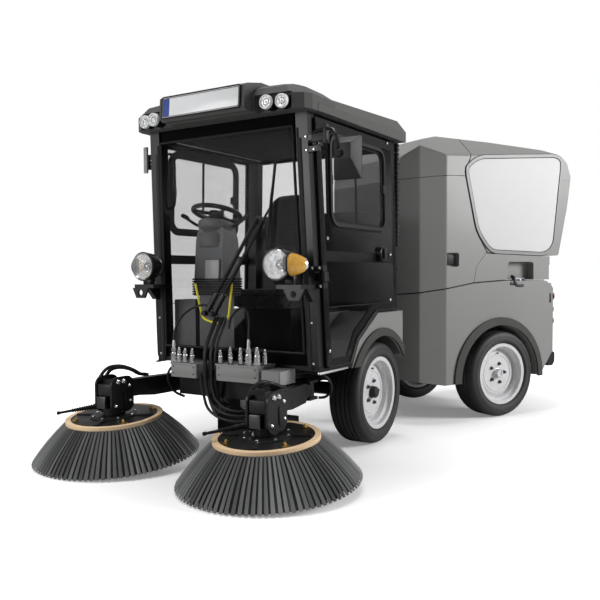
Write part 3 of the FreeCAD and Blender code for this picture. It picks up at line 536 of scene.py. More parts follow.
# Geometry Nodes trees for what repeats
def newTree(name, sockets):
    tree = bpy.data.node_groups.new(name, "GeometryNodeTree")
    tree.interface.new_socket("Geometry", in_out="INPUT", socket_type="NodeSocketGeometry")
    for label, kind in {**sockets, "Finish": "Material"}.items():
        tree.interface.new_socket(label, in_out="INPUT", socket_type="NodeSocket" + kind)
    tree.interface.new_socket("Geometry", in_out="OUTPUT", socket_type="NodeSocketGeometry")
    graph = Graph(tree)
    entry = tree.nodes.new("NodeGroupInput")
    inputs = {socket.name: Wire(graph, socket) for socket in entry.outputs if socket.name}
    return tree, graph, inputs


def copiesOnPoints(graph, points, values):
    return graph.node("GeometryNodeInstanceOnPoints", None, {"Points": points, **values})


def closeTree(tree, graph, instances, inputs):
    solid = graph.node("GeometryNodeRealizeInstances", None, {0: instances})
    painted = graph.node("GeometryNodeSetMaterial", None, {"Geometry": solid, "Material": inputs["Finish"]})
    end = tree.nodes.new("NodeGroupOutput")
    tree.links.new(painted.socket, end.inputs[0])
    return tree


def ringTree():  # copies of a shape about the Z axis, each a little different
    tree, graph, inputs = newTree("copiesRound", {
        "Copies": "Int", "First Turn": "Float", "Loose": "Float", "Longer": "Float", "Darkest": "Float",
        "Lightest": "Float", "Seed": "Int"})
    index = graph.node("GeometryNodeInputIndex")

    def chance(low, high, shift):
        return graph.node("FunctionNodeRandomValue", {"data_type": "FLOAT"},
                          {2: low, 3: high, 8: inputs["Seed"] + shift}, 1)
    points = graph.node("GeometryNodePoints", None, {"Count": inputs["Copies"]})
    turn = index * (2 * math.pi) / inputs["Copies"] + inputs["First Turn"] \
        + chance(-1.0, 1.0, 1) * inputs["Loose"]
    rotation = graph.node("ShaderNodeCombineXYZ", None, {2: turn})
    size = 1.0 + chance(-1.0, 1.0, 2) * inputs["Longer"]
    scale = graph.node("ShaderNodeCombineXYZ", None, {0: size, 1: size, 2: size})
    copies = copiesOnPoints(graph, points, {"Instance": inputs["Geometry"], "Rotation": rotation,
                                            "Scale": scale})
    tone = chance(inputs["Darkest"], inputs["Lightest"], 3)
    toned = graph.node("GeometryNodeStoreNamedAttribute", {"data_type": "FLOAT", "domain": "INSTANCE"},
                       {"Geometry": copies, "Name": "tone", "Value": tone})
    return closeTree(tree, graph, toned, inputs)


def rowTree():  # copies of a shape one step apart
    tree, graph, inputs = newTree("copiesInRow", {"Copies": "Int", "Step": "Vector"})
    index = graph.node("GeometryNodeInputIndex")
    place = graph.node("ShaderNodeVectorMath", {"operation": "SCALE"}, {0: inputs["Step"], "Scale": index})
    points = graph.node("GeometryNodePoints", None, {"Count": inputs["Copies"], "Position": place})
    return closeTree(tree, graph, copiesOnPoints(graph, points, {"Instance": inputs["Geometry"]}), inputs)


def spotTree():  # a fastener on every point, its axis along the point's own direction
    tree, graph, inputs = newTree("fastenersOnSpots", {"Fastener": "Object", "Size": "Float"})
    shape = graph.node("GeometryNodeObjectInfo", None, {"Object": inputs["Fastener"]}, "Geometry")
    facing = graph.node("GeometryNodeInputNamedAttribute", {"data_type": "FLOAT_VECTOR"}, {"Name": "facing"})
    rotation = graph.node("FunctionNodeAlignRotationToVector", {"axis": "Z"}, {"Vector": facing})
    size = inputs["Size"]
    scale = graph.node("ShaderNodeCombineXYZ", None, {0: size, 1: size, 2: size})
    copies = copiesOnPoints(graph, inputs["Geometry"], {"Instance": shape, "Rotation": rotation,
                                                        "Scale": scale})
    return closeTree(tree, graph, copies, inputs)


trees = {"ring": ringTree(), "row": rowTree(), "spots": spotTree()}


def grow(drawn, treeName, values, finishName, place=Matrix()):
    holder = shown("grown", drawn)
    modifier = holder.modifiers.new("grown", "NODES")
    modifier.node_group = trees[treeName]
    sockets = {item.name: item.identifier for item in modifier.node_group.interface.items_tree
               if item.item_type == "SOCKET" and item.in_out == "INPUT"}
    for label, value in {**values, "Finish": finishes[finishName]}.items():
        modifier[sockets[label]] = value
    grown = evaluated(holder)
    bpy.data.objects.remove(holder)
    bpy.data.meshes.remove(drawn)
    grown.transform(place)
    if not grown.materials:
        grown.materials.append(finishes[finishName])
    return grown


def ringValues(copies, firstTurn, seed, loose=0.0, longer=0.0, tones=(0.0, 1.0)):
    return {"Copies": copies, "First Turn": firstTurn, "Loose": loose, "Longer": longer, "Darkest": tones[0],
            "Lightest": tones[1], "Seed": seed}


def gathered(name, parts, finishName):  # several grown meshes as one
    whole = bmesh.new()
    for part in parts:
        whole.from_mesh(part)
        bpy.data.meshes.remove(part)
    drawn = bpy.data.meshes.new(name)
    whole.to_mesh(drawn)
    whole.free()
    drawn.materials.append(finishes[finishName])
    return drawn


# Fasteners: domed bolts with a socket, in several sizes
boltSizes = dict(radius=0.010, height=0.006)


def domeBolt():
    r, h = boltSizes["radius"], boltSizes["height"]
    shape = Shape().use("zincPlate")
    shape.lathe([(0, 0), (0, r), (h * 0.35, r * 0.97), (h * 0.75, r * 0.72), (h, r * 0.42),
                 (h * 0.7, r * 0.36), (h * 0.68, 0)], (0, 0, 0), (0, 0, 1), 16)
    return shown("domeBolt", shape.toMesh("domeBolt"))


dome = domeBolt()


def onSpots(fastener, rows, size, finishName):
    # rows: x, y, z and the direction that the head faces
    spots = bpy.data.meshes.new("spots")
    spots.from_pydata([row[:3] for row in rows], [], [])
    facing = spots.attributes.new("facing", "FLOAT_VECTOR", "POINT")
    for value, row in zip(facing.data, rows):
        value.vector = row[3:]
    return grow(spots, "spots", {"Fastener": fastener, "Size": size}, finishName)


def boltSet(name, body, rows, size, finishName, place=frontPlace):
    bolts = onSpots(dome, rows, size, finishName)
    bolts.transform(place)
    return ridePiece(name, smoothed(bolts), body)


# Camera, floor and lights
cameraSizes = dict(place=(2.2288, -4.1585, 0.971), turn=32.146, tilt=-1.944, roll=-0.306, lens=43.94)


def makeCamera():
    turn, tilt, roll = (math.radians(cameraSizes[key]) for key in ("turn", "tilt", "roll"))
    ahead = Vector((-math.sin(turn) * math.cos(tilt), math.cos(turn) * math.cos(tilt), math.sin(tilt)))
    right = Vector((math.cos(turn), math.sin(turn), 0))
    up = right.cross(ahead)
    right, up = right * math.cos(roll) + up * math.sin(roll), up * math.cos(roll) - right * math.sin(roll)
    camera = shown("camera", bpy.data.cameras.new("camera"))
    camera.data.lens = cameraSizes["lens"]
    camera.data.sensor_width = 36
    camera.data.clip_end = 200
    axes = Matrix((right, up, -ahead)).transposed().to_4x4()
    camera.matrix_world = Matrix.Translation(cameraSizes["place"]) @ axes
    scene.camera = camera


# nearGlow, inside the oval round the machine, is lower than farGlow: a painted shadow on the floor
studio = dict(surround=0.11, floorTone=0.60, seenTone=1.0, nearGlow=0.20, farGlow=0.94, near=1.0, far=2.4,
              stretch=1.5, floorReach=40, aim=0.8)
# name, place, size across and power of each lamp
lampRows = [("keyLight", (6.3, 2.4, 2.9), 2.6, 390), ("fillLight", (-2.3, -4.7, 1.7), 2.2, 80),
            ("topLight", (-0.6, -0.6, 6.6), 3.8, 250), ("backLight", (-3.5, 5.5, 3.6), 3.0, 90)]


def lamp(name, place, size, power):
    light = bpy.data.lights.new(name, "AREA")
    light.shape = "DISK"
    light.size = size
    light.energy = power
    aim = Vector((0, 0, studio["aim"])) - Vector(place)
    facing = aim.to_track_quat("-Z", "Y").to_matrix().to_4x4()
    shown(name, light).matrix_world = Matrix.Translation(place) @ facing


def floorLook(graph, place, row):  # white where it is looked at, a little darker near the wheels and under the machine, where its glow drops: a painted shadow
    seen = graph.clamp(graph.ray("Camera") + graph.ray("Transmission"))
    oval = graph.node("ShaderNodeVectorMath", {"operation": "DIVIDE"},
                      {0: place, 1: (1, studio["stretch"], 1)})
    distance = graph.node("ShaderNodeVectorMath", {"operation": "LENGTH"}, {0: oval}, "Value")
    glowWithPaintedShadow = graph.node("ShaderNodeMapRange", {"interpolation_type": "SMOOTHSTEP"}, {
        "Value": distance, "From Min": studio["near"], "From Max": studio["far"],
        "To Min": studio["nearGlow"], "To Max": studio["farGlow"]})
    tone = seen * (studio["seenTone"] - studio["floorTone"]) + studio["floorTone"]
    return {"Base Color": graph.mix(tone, grey(0), grey(1)), "Roughness": 0.9, "Specular IOR Level": 0.0,
            "Emission Color": grey(1), "Emission Strength": seen * glowWithPaintedShadow}


def makeStudio():
    world = bpy.data.worlds.new("studio")
    scene.world = world
    world.use_nodes = True
    world.node_tree.nodes.clear()
    graph = Graph(world.node_tree)
    seen = graph.clamp(graph.ray("Camera") + graph.ray("Transmission") + graph.ray("Glossy") * 0.3)
    back = graph.node("ShaderNodeBackground", None, {
        "Color": grey(1), "Strength": studio["surround"] + (1.0 - studio["surround"]) * seen})
    graph.node("ShaderNodeOutputWorld", None, {"Surface": back})
    floorMesh = bpy.data.meshes.new("floor")
    reach = studio["floorReach"]
    corners = [(x * reach, y * reach, -0.001) for x, y in ((-1, -1), (1, -1), (1, 1), (-1, 1))]
    floorMesh.from_pydata(corners, [], [(0, 1, 2, 3)])
    floorMesh.materials.append(makeFinish("floorWhite", floorLook))
    shown("floor", floorMesh)
    for row in lampRows:
        lamp(*row)
    scene.view_settings.view_transform = "Standard"


makeCamera()
makeStudio()
print("camera and studio ready")

# Tyres: lathed with four grooves and moulded rings, in place of the plain CAD tyres
tyreSizes = dict(outside=0.292, half=0.0975, bead=0.1925, track=0.4395, axle=0.292, groove=0.008,
                 grooveWide=0.0075, grooves=(-0.042, -0.0145, 0.0145, 0.042), shoulder=0.058, sides=112)


def tyreProfile():
    outside, half, shoulder = tyreSizes["outside"], tyreSizes["half"], tyreSizes["shoulder"]
    wall = [(0.076, tyreSizes["bead"]), (0.079, 0.2075), (0.086, 0.2135), (0.0915, 0.2175), (0.0925, 0.2215),
            (0.0955, 0.2225), (half - 0.0003, 0.233), (half, 0.241), (half - 0.0004, 0.2475),
            (half - 0.0022, 0.2485), (half - 0.0022, 0.2515), (half - 0.0006, 0.2525),
            (half - 0.0012, 0.2575), (half - 0.0030, 0.2585), (half - 0.0034, 0.2645),
            (half - 0.0062, 0.2715), (half - 0.0105, 0.2785), (half - 0.0165, 0.2840),
            (half - 0.0245, 0.2880), (half - 0.034, outside - 0.0016)]
    tread = []
    wide, bottom = tyreSizes["grooveWide"] / 2, outside - tyreSizes["groove"]
    for middle in tyreSizes["grooves"]:
        tread += [(middle - wide - 0.001, outside), (middle - wide, outside - 0.001),
                  (middle - wide * 0.6, bottom), (middle + wide * 0.6, bottom),
                  (middle + wide, outside - 0.001), (middle + wide + 0.001, outside)]
    left = [(-x, radius) for x, radius in wall]
    return left + [(-shoulder, outside - 0.0004)] + tread + [(shoulder, outside - 0.0004)] + wall[::-1]


wheelRows = {}
for unit, unitPlace in (("front", frontPlace), ("rear", rearPlace)):
    axleY = (unitPlace.inverted() @ middleOf(unit + "_axle")).y if unit == "rear" else 0.0
    for side, sign in bothHands:
        hubPlace = Vector((sign * tyreSizes["track"], axleY, tyreSizes["axle"]))
        wheelRows[unit + "_" + side] = (unitPlace, sign, hubPlace)


def makeTyres():
    for wheel, (place, sign, centre) in wheelRows.items():
        shape = Shape().use("tyreRubber")
        shape.lathe(tyreProfile(), centre, (1, 0, 0), tyreSizes["sides"], looped=True)
        tyre = finishShape(shape, wheel + "_tyre_treaded", wheel + "_wheel", place, 28)
        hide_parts(wheel + "_tyre")


makeTyres()

# Wheel centres: five lug bolts, a cap or stub over the spindle, the valve
hubSizes = dict(face=0.038, boltCircle=0.066, bolts=5, boltRadius=0.0095, boltHigh=0.015, capRadius=0.036,
                stubRadius=0.034, valveCircle=0.150)


def lugBolts(place, sign, start):
    shape = Shape().use("darkSteel")
    r, h = hubSizes["boltRadius"], hubSizes["boltHigh"]
    spot = (hubSizes["boltCircle"], 0, 0)
    shape.lathe([(-0.002, 0), (-0.002, r * 1.5), (0.002, r * 1.35), (0.004, r)], spot, (0, 0, 1), 14)
    shape.lathe([(0.003, 0), (0.003, r), (h * 0.86, r), (h, r * 0.8), (h, 0)], spot, (0, 0, 1), 6)
    return grow(shape.toMesh("lug"), "ring", ringValues(hubSizes["bolts"], 0.35, 3), "darkSteel",
                place @ Matrix.Translation(start) @ turned(90 * sign, "Y"))


def makeHubs():
    for wheel, (place, sign, centre) in wheelRows.items():
        start = centre + Vector((sign * hubSizes["face"], 0, 0))
        ridePiece(wheel + "_lug_bolts", lugBolts(place, sign, start), wheel + "_wheel")
        if wheel.startswith("front"):
            shape, r = Shape().use("gripBlack"), hubSizes["capRadius"]
            profile = [(0.0005, 0), (0.0005, r), (0.004, r), (0.006, r * 0.92), (0.026, r * 0.90),
                       (0.032, r * 0.80), (0.035, r * 0.62), (0.034, r * 0.5), (0.034, 0)]
        else:
            shape, r = Shape().use("aluminium"), hubSizes["stubRadius"]
            profile = [(0.0005, 0), (0.0005, r), (0.003, r), (0.005, r * 0.9), (0.028, r * 0.88),
                       (0.031, r * 0.80), (0.031, r * 0.45), (0.027, r * 0.40), (0.027, 0)]
        shape.lathe(profile, start, (sign, 0, 0))
        valve = start + Vector((sign * -0.045, 0, hubSizes["valveCircle"]))
        shape.use("rubberBlack").lathe([(0.020, 0), (0.020, 0.0045), (0.046, 0.0035), (0.050, 0.0045),
                                        (0.058, 0.0045), (0.060, 0)], valve, (sign, 0, -0.25), 10)
        shape.use("rimPaint").lathe([(0.0, 0.118), (0.003, 0.120), (0.0035, 0.124), (0.0, 0.127)], start,
                                    (sign, 0, 0), 48, looped=True)
        finishShape(shape, wheel + "_hub", wheel + "_wheel", place)


makeHubs()
print("wheels ready")

# Disc brushes: a ring of flat tufts over two inner ones kept near black as painted shade in the gaps, in
# place of the plain CAD skirts
bristleSizes = dict(tufts=95, drop=0.1915, top=-0.004, ridges=4, bow=0.010, steps=4, loose=0.0045,
                    longer=0.0012)
# tones: the outer row's tufts vary at random; the two inner rows' tones are near black, painted shade seen
# through the gaps
bristleRows = [dict(root=0.2515, tip=0.4275, wide=(0.0100, 0.0176), deep=0.0026, turn=0.0, tones=(0.42, 1.0)),
               dict(root=0.2440, tip=0.4130, wide=(0.0150, 0.0240), deep=0.0020, turn=0.5, tones=(0.0, 0.14)),
               dict(root=0.2330, tip=0.3880, wide=(0.0158, 0.0270), deep=0.0020, turn=0.2, tones=(0.0, 0.05))]
brushSizes = dict(x=0.485, y=-1.082, z=0.232, tilt=5.0)


def onBrush(sign):
    return frontPlace @ Matrix.Translation((sign * brushSizes["x"], brushSizes["y"], brushSizes["z"])) \
        @ turned(brushSizes["tilt"], "X")


def tuftMesh(row):
    # a flat tuft, ridged along its length and spreading to the tip
    shape = Shape().use("bristleStrip")
    edges, top, drop = bristleSizes["ridges"] * 2, bristleSizes["top"], bristleSizes["drop"]
    rings = []
    for step in range(bristleSizes["steps"] + 1):
        run = step / bristleSizes["steps"]
        radius = row["root"] + (row["tip"] - row["root"]) * run \
            + bristleSizes["bow"] * math.sin(math.pi * run)
        wide = row["wide"][0] + (row["wide"][1] - row["wide"][0]) * run
        z = top + (-drop - top) * run
        outer, inner = [], []
        for side in range(edges + 1):
            across = (side / edges - 0.5) * wide
            lift = row["deep"] * (1.0 if side % 2 else 0.35) * (1 - (2 * across / wide) ** 4 * 0.7)
            outer.append(shape.mesh.verts.new((radius + lift, across, z + lift * 0.8)))
            inner.append(shape.mesh.verts.new((radius - 0.0008, across, z - 0.0006)))
        rings.append(outer + inner[::-1])
    shape.walls(rings)
    shape.mesh.faces.new(rings[0])
    shape.mesh.faces.new(rings[-1])
    return shape.toMesh("tuft", sharp=20)


def makeBristles():
    for side, sign in bothHands:
        tufts = bristleSizes["tufts"]
        rings = [grow(tuftMesh(row), "ring", ringValues(
            tufts, row["turn"] * 2 * math.pi / tufts, 11 + number * 7 + (40 if sign < 0 else 0),
            bristleSizes["loose"], bristleSizes["longer"], row["tones"]), "bristleStrip")
            for number, row in enumerate(bristleRows)]
        whole = gathered("bristles", rings, "bristleStrip")
        whole.transform(onBrush(sign))
        skirt = ridePiece(side + "_brush_tufts", whole, side + "_brush")
        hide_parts(side + "_brush_bristles")


makeBristles()
print("bristles ready")

# On the discs: a step under the motor with four spokes, bolts round it, brass clips near the ring
discSizes = dict(spokes=4, clips=4, bolts=8, boltCircle=0.108, top=0.0122)


def makeDiscs():
    top = discSizes["top"]
    for side, sign in bothHands:
        shape = Shape().use("brushSteel")
        shape.lathe([(top, 0.045), (top, 0.125), (0.016, 0.125), (0.018, 0.120), (0.019, 0.045)], (0, 0, 0),
                    (0, 0, 1), 48, looped=True)
        for spokeNumber in range(discSizes["spokes"]):
            spoke = Shape().use("brushSteel").box((0.118, -0.014, top), (0.212, 0.014, 0.019), 0.002)
            spoke.transform(turned(360 / discSizes["spokes"] * spokeNumber + 20, "Z"))
            shape.merge(spoke.copied())
        finishShape(shape, side + "_disc_plate", side + "_brush", onBrush(sign))
        bolt = Shape().use("zincPlate")
        bolt.lathe(stud(0.0075, 0.005, 0.001, 0.0015), (discSizes["boltCircle"], 0, 0.0185), (0, 0, 1), 6)
        clip = Shape().use("brass")
        clip.box((0.196, -0.020, top), (0.214, 0.020, 0.0155), 0.001)
        clip.box((0.186, -0.006, top), (0.204, 0.006, 0.0235), 0.002)
        clip.lathe(stud(0.005, 0.0075, 0.0015, 0.0015), (0.195, 0, 0.023), (0, 0, 1), 10)
        for part, name, values, finishName, slotName in (
                (bolt, "_disc_bolts", ringValues(discSizes["bolts"], 0.2, 1), "zincPlate", "rim_white"),
                (clip, "_disc_clips", ringValues(discSizes["clips"], 1.02, 2), "brass", "brush_ring")):
            grown = grow(part.toMesh("fitting"), "ring", values, finishName, onBrush(sign))
            ridePiece(side + name, grown, side + "_brush")


makeDiscs()

# Brush heads: fittings under the hoses, bolts on the side plates, the ribbed rod and the clamp
headSizes = dict(plate=0.062, plateThick=0.005, ribs=9, fitting=0.0125, elbow=0.0085)


def headFitting(shape, x, y, top):
    r = headSizes["fitting"]
    shape.lathe([(-0.004, 0), (-0.004, 0.0105), (0.0, r), (0.026, r), (0.028, 0.0108), (0.034, 0.0108),
                 (0.034, 0.0)],
                (x, y, top - 0.012), (0, 0, 1), 18)
    shape.lathe(stud(r, 0.014), (x, y, top - 0.030), (0, 0, 1), 6)
    shape.tube([(x, y, top - 0.028), (x, y, top - 0.046), (x + 0.012, y, top - 0.048),
                (x + 0.034, y, top - 0.048)], headSizes["elbow"])
    shape.lathe(stud(r, 0.012), (x + 0.012, y, top - 0.048), (1, 0, 0), 6)


def makeHead(side, sign):
    x, y = sign * brushSizes["x"], brushSizes["y"]
    shape = Shape().use("zincPlate")
    for fittingY, top in ((y - 0.030, 0.318), (y + 0.004, 0.302)):      # on the same side of both heads
        headFitting(shape, x - 0.080, fittingY, top)
    for plate in (-1, 1):
        for shiftY, z, radius in ((-0.032, 0.424, 0.0150), (0.006, 0.424, 0.0150), (0.046, 0.398, 0.010),
                                  (0.052, 0.318, 0.010), (-0.050, 0.300, 0.010)):
            shape.use("chrome").lathe([(0, 0), (0, radius), (0.003, radius), (0.0045, radius * 0.93),
                                       (0.009, radius * 0.70), (0.0105, radius * 0.4), (0.0105, 0)],
                                      (x + plate * headSizes["plate"], y + shiftY, z), (plate, 0, 0), 20)
    shape.use("brushSteel")
    outline = [(y + 0.016, 0.290), (y + 0.034, 0.290), (y + 0.040, 0.300), (y + 0.030, 0.372),
               (y + 0.016, 0.380), (y + 0.006, 0.372), (y + 0.008, 0.300)]
    for plate in (-1, 1):
        inner = x + plate * headSizes["plate"]
        shape.plate(outline, *sorted((inner, inner + plate * headSizes["plateThick"])), "x", 0.0015)
    shape.use("darkSteel").lathe(stud(0.011, 0.120, 0.002, 0.002), (x - 0.062, y - 0.060, 0.285), (0, 0, 1),
                                 18)
    shape.box((x - 0.030, y - 0.096, 0.288), (x + 0.030, y - 0.056, 0.352), 0.004)
    shape.use("brushSteel").box((x - 0.046, y - 0.074, 0.352), (x + 0.046, y - 0.040, 0.412), 0.006)
    profile = [(0, 0), (0, 0.0155), (0.024, 0.0155), (0.026, 0.010)]
    for rib in range(headSizes["ribs"]):
        at, r = 0.028 + rib * 0.012, 0.0150 - rib * 0.0005
        profile += [(at, r - 0.004), (at + 0.002, r), (at + 0.007, r), (at + 0.009, r - 0.004)]
    profile += [(0.140, 0.0075), (0.190, 0.0068), (0.196, 0.0095), (0.208, 0.0090), (0.210, 0)]
    shape.use("rubberBlack").lathe(profile, (x - 0.066, y - 0.052, 0.292), (-0.66, -0.73, -0.13), 16)
    finishShape(shape, side + "_head_fittings", side + "_arm")


for headSide, headSign in bothHands:
    makeHead(headSide, headSign)
print("brush heads ready")

# The windscreen and front posts lean forward, the doors lean in
cabSizes = dict(frontLow=-0.698, slope=-0.05255, floor=0.490, side=0.558, lean=1.17)


def onScreen(x, z, ahead=0.0):
    return Vector((x, cabSizes["frontLow"] + cabSizes["slope"] * (z - cabSizes["floor"]) - ahead, z))


def roundedOutline(low, high, radius, out=0.0, steps=6):
    # corner arcs of a rounded rectangle between two corners (a, b), which out moves outwards
    outline = []
    left, bottom = low[0] - out + radius, low[1] - out + radius
    right, top = high[0] + out - radius, high[1] + out - radius
    for number, (a, b) in enumerate(((right, top), (left, top), (left, bottom), (right, bottom))):
        for step in range(steps + 1):
            turn = math.radians(90 * number + 90 * step / steps)
            outline.append((a + radius * math.cos(turn), b + radius * math.sin(turn)))
    return outline


# Number plate left blank, in its frame on the holder over the windscreen
plateSizes = dict(half=0.247, low=1.782, high=1.886, band=0.040, y=-0.9455, lean=-4.4)


def makeNumberPlate():
    half, tall = plateSizes["half"], (plateSizes["high"] - plateSizes["low"]) / 2

    def outline(out, radius, right=half):
        return roundedOutline((-half, -tall), (right, tall), radius, out)
    shape = Shape().use("rubberBlack").band(outline(0.006, 0.012), outline(-0.001, 0.008), -0.0065, 0.0, "y")
    shape.use("plateWhite").plate(outline(0, 0.009), -0.004, 0.0, "y", 0.001)
    shape.use("rubberBlack").band(outline(-0.004, 0.007), outline(-0.0065, 0.006), -0.0047, -0.0035, "y")
    shape.use("plateBlue").plate(outline(-0.007, 0.005, plateSizes["band"] - half + 0.014), -0.0045, -0.0035,
                                 "y")
    middle = Matrix.Translation((0, plateSizes["y"], (plateSizes["low"] + plateSizes["high"]) / 2))
    shape.transform(middle @ turned(plateSizes["lean"], "X"))
    finishShape(shape, "number_plate", "front_unit")


makeNumberPlate()

# Work lamps in the roof: white rings, faceted bowls and clear lenses
workLampSizes = dict(radius=0.034, spots=((0.363, -0.892), (0.441, -0.874)), z=1.800)
forwards, outwards, upwards = (0, -1, 0), (1, 0, 0), (0, 0, 1)


def makeWorkLamps():
    shape, lens = Shape(), Shape().use("lampLens")
    r = workLampSizes["radius"]
    for x, y in workLampSizes["spots"]:
        place = (x, y, workLampSizes["z"])
        shape.use("plateWhite").lathe([(-0.002, r - 0.0075), (0.004, r - 0.0075), (0.0095, r - 0.0055),
                                       (0.0110, r - 0.003), (0.0095, r), (0.002, r + 0.0008),
                                       (-0.006, r + 0.0008), (-0.006, r - 0.002)], place, forwards, 40,
                                      looped=True)
        shape.use("reflector").lathe([(0.0008, 0), (0.0012, 0.006), (0.001, r - 0.012), (0.0035, r - 0.0085),
                                      (0.0035, r - 0.0070), (0.0005, r - 0.0070), (0.0002, 0)], place,
                                     forwards, 40)
        shape.use("rubberBlack").lathe([(0.0016, 0.013), (0.0030, 0.0165), (0.0016, 0.0185)], place,
                                       forwards, 24, looped=True)
        shape.use("chrome").lathe([(0.001, 0), (0.001, 0.006), (0.006, 0.005), (0.0085, 0.002), (0.0088, 0)],
                                  place, forwards, 16)
        wide = r - 0.0072
        lens.lathe([(0.0062, 0), (0.0062, wide), (0.0078, wide), (0.0100, wide * 0.75), (0.0118, wide * 0.4),
                    (0.0122, 0)], place, forwards)
    finishShape(shape.bothSides(), "work_lamp_bowls", "front_unit")
    finishShape(lens.bothSides(), "work_lamp_lenses", "front_unit")


makeWorkLamps()

# Headlamps: black shell, faceted bowl, bulb, clear lens and the amber indicator beside it
headlampSizes = dict(x=0.432, y=-0.915, z=1.022, radius=0.070, deep=0.110)


def makeHeadlamps():
    x, y, z = headlampSizes["x"], headlampSizes["y"], headlampSizes["z"]
    r, deep, place = headlampSizes["radius"], headlampSizes["deep"], (x, y, z)
    shape = Shape().use("lampBlack")
    shape.lathe([(-deep, 0), (-deep, r * 0.55), (-deep * 0.86, r * 0.80), (-deep * 0.55, r * 1.0),
                 (-0.010, r * 1.10), (0.000, r * 1.12), (0.004, r * 1.09), (0.004, r * 1.01),
                 (-0.004, r * 0.985), (-deep * 0.5, r * 0.80), (-deep * 0.8, r * 0.3), (-deep * 0.82, 0)],
                place, forwards, 44)
    shape.box((x - 0.004, y + 0.055, z - 0.045), (x + 0.070, y + 0.104, z + 0.045), 0.014)
    shape.box((x + 0.006, y + 0.060, z - 0.098), (x + 0.060, y + 0.100, z - 0.050), 0.006)
    shape.lathe([(0.046, 0), (0.046, 0.060), (0.060, 0.0600), (0.066, 0.0585), (0.066, 0)],
                (x, y + 0.040, z), outwards, 36)
    shape.use("chrome").lathe([(0.0, r * 1.015), (0.006, r * 1.02), (0.008, r * 0.99), (0.004, r * 0.95),
                               (0.0, r * 0.95)], place, forwards, 44, looped=True)
    shape.use("reflector").lathe([(-0.001, r * 0.955), (-0.012, r * 0.90), (-0.028, r * 0.74),
                                  (-0.042, r * 0.48), (-0.050, r * 0.16), (-0.050, 0)], place, forwards, 44)
    shape.use("chrome").lathe([(-0.050, 0), (-0.050, 0.011), (-0.034, 0.010), (-0.024, 0.0065), (-0.022, 0)],
                              place, forwards, 16)
    shape.use("rubberBlack").lathe([(-0.046, 0.016), (-0.030, 0.020), (-0.029, 0.023), (-0.044, 0.023)],
                                   place, forwards, 24, looped=True)
    beside, aslant = (x + 0.036, y + 0.034, z), (0.80, 0.60, 0)
    shape.use("amberLens").lathe([(0, 0), (0, 0.060), (0.022, 0.0585), (0.046, 0.0520), (0.068, 0.0435),
                                  (0.084, 0.0360), (0.092, 0.0300), (0.092, 0)], beside, aslant, 36)
    shape.use("chrome").lathe([(0.086, 0), (0.086, 0.0335), (0.098, 0.0270), (0.104, 0.0180), (0.106, 0)],
                              beside, aslant, 28)
    lamps = finishShape(shape.bothSides(), "headlamp_bowls", "front_unit")
    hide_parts("headlights")
    lens = Shape().use("lampLens")
    lens.lathe([(0.002, 0), (0.002, r * 0.94), (0.008, r * 0.98), (0.018, r * 0.93), (0.027, r * 0.78),
                (0.033, r * 0.52), (0.036, r * 0.25), (0.037, 0)], place, forwards, 44)
    finishShape(lens.bothSides(), "headlamp_lenses", "front_unit")


makeHeadlamps()
print("lamps ready")

# Mirror on the left post: tapered shell, glass, arm and clamp
mirrorSizes = dict(x=(0.652, 0.800), z=(1.420, 1.620), back=-0.736, front=-0.826, arm=0.0085)


def makeMirror():
    (left, right), (low, high) = mirrorSizes["x"], mirrorSizes["z"]
    back, front = mirrorSizes["back"], mirrorSizes["front"]
    shape = Shape().use("mirrorPlastic")
    rings = [[shape.mesh.verts.new(corner) for corner in ((x0, y, z0), (x1, y, z0), (x1, y, z1), (x0, y, z1))]
             for y, x0, x1, z0, z1 in ((back, left, right, low, high), (back - 0.014, left, right, low, high),
                                       (front, left + 0.076, left + 0.132, low + 0.088, high - 0.040))]
    shape.mesh.faces.new(rings[0])
    shape.mesh.faces.new(rings[-1])
    shape.walls(rings)
    shape.soften(shape.mesh.edges, 0.006)
    shape.mark(set())
    shape.use("chrome").plate(roundedOutline((left, low), (right, high), 0.010, -0.008), back - 0.002,
                              back + 0.0015)
    shape.use("cabPaint").tube([(0.540, -0.742, 1.662), (0.585, -0.752, 1.668), (0.632, -0.764, 1.668),
                                (0.682, -0.790, 1.650), (0.704, -0.806, 1.600), (0.716, -0.820, 1.556)],
                               mirrorSizes["arm"])
    shape.use("gripBlack").box((0.536, -0.764, 1.612), (0.620, -0.738, 1.652), 0.004)
    shape.box((0.604, -0.770, 1.598), (0.626, -0.742, 1.690), 0.004)
    shape.use("rubberBlack").lathe([(0, 0), (0, 0.017), (0.008, 0.019), (0.016, 0.015), (0.017, 0)],
                                   (0.724, -0.822, 1.532), (0.1, -1, 0.0), 20)
    mirror = finishShape(shape, "mirror_shell", "front_unit")
    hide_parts("left_mirror")


makeMirror()

# Wipers: two parallel arms from the cowl and one long blade
wiperSizes = dict(bases=((-0.128, 0.782), (-0.078, 0.778)), tops=((0.222, 1.262), (0.258, 1.252)),
                  ahead=0.034, blade=((0.262, 1.098), (0.338, 1.545)), bladeAhead=0.018, bow=0.012,
                  arm=0.0105)


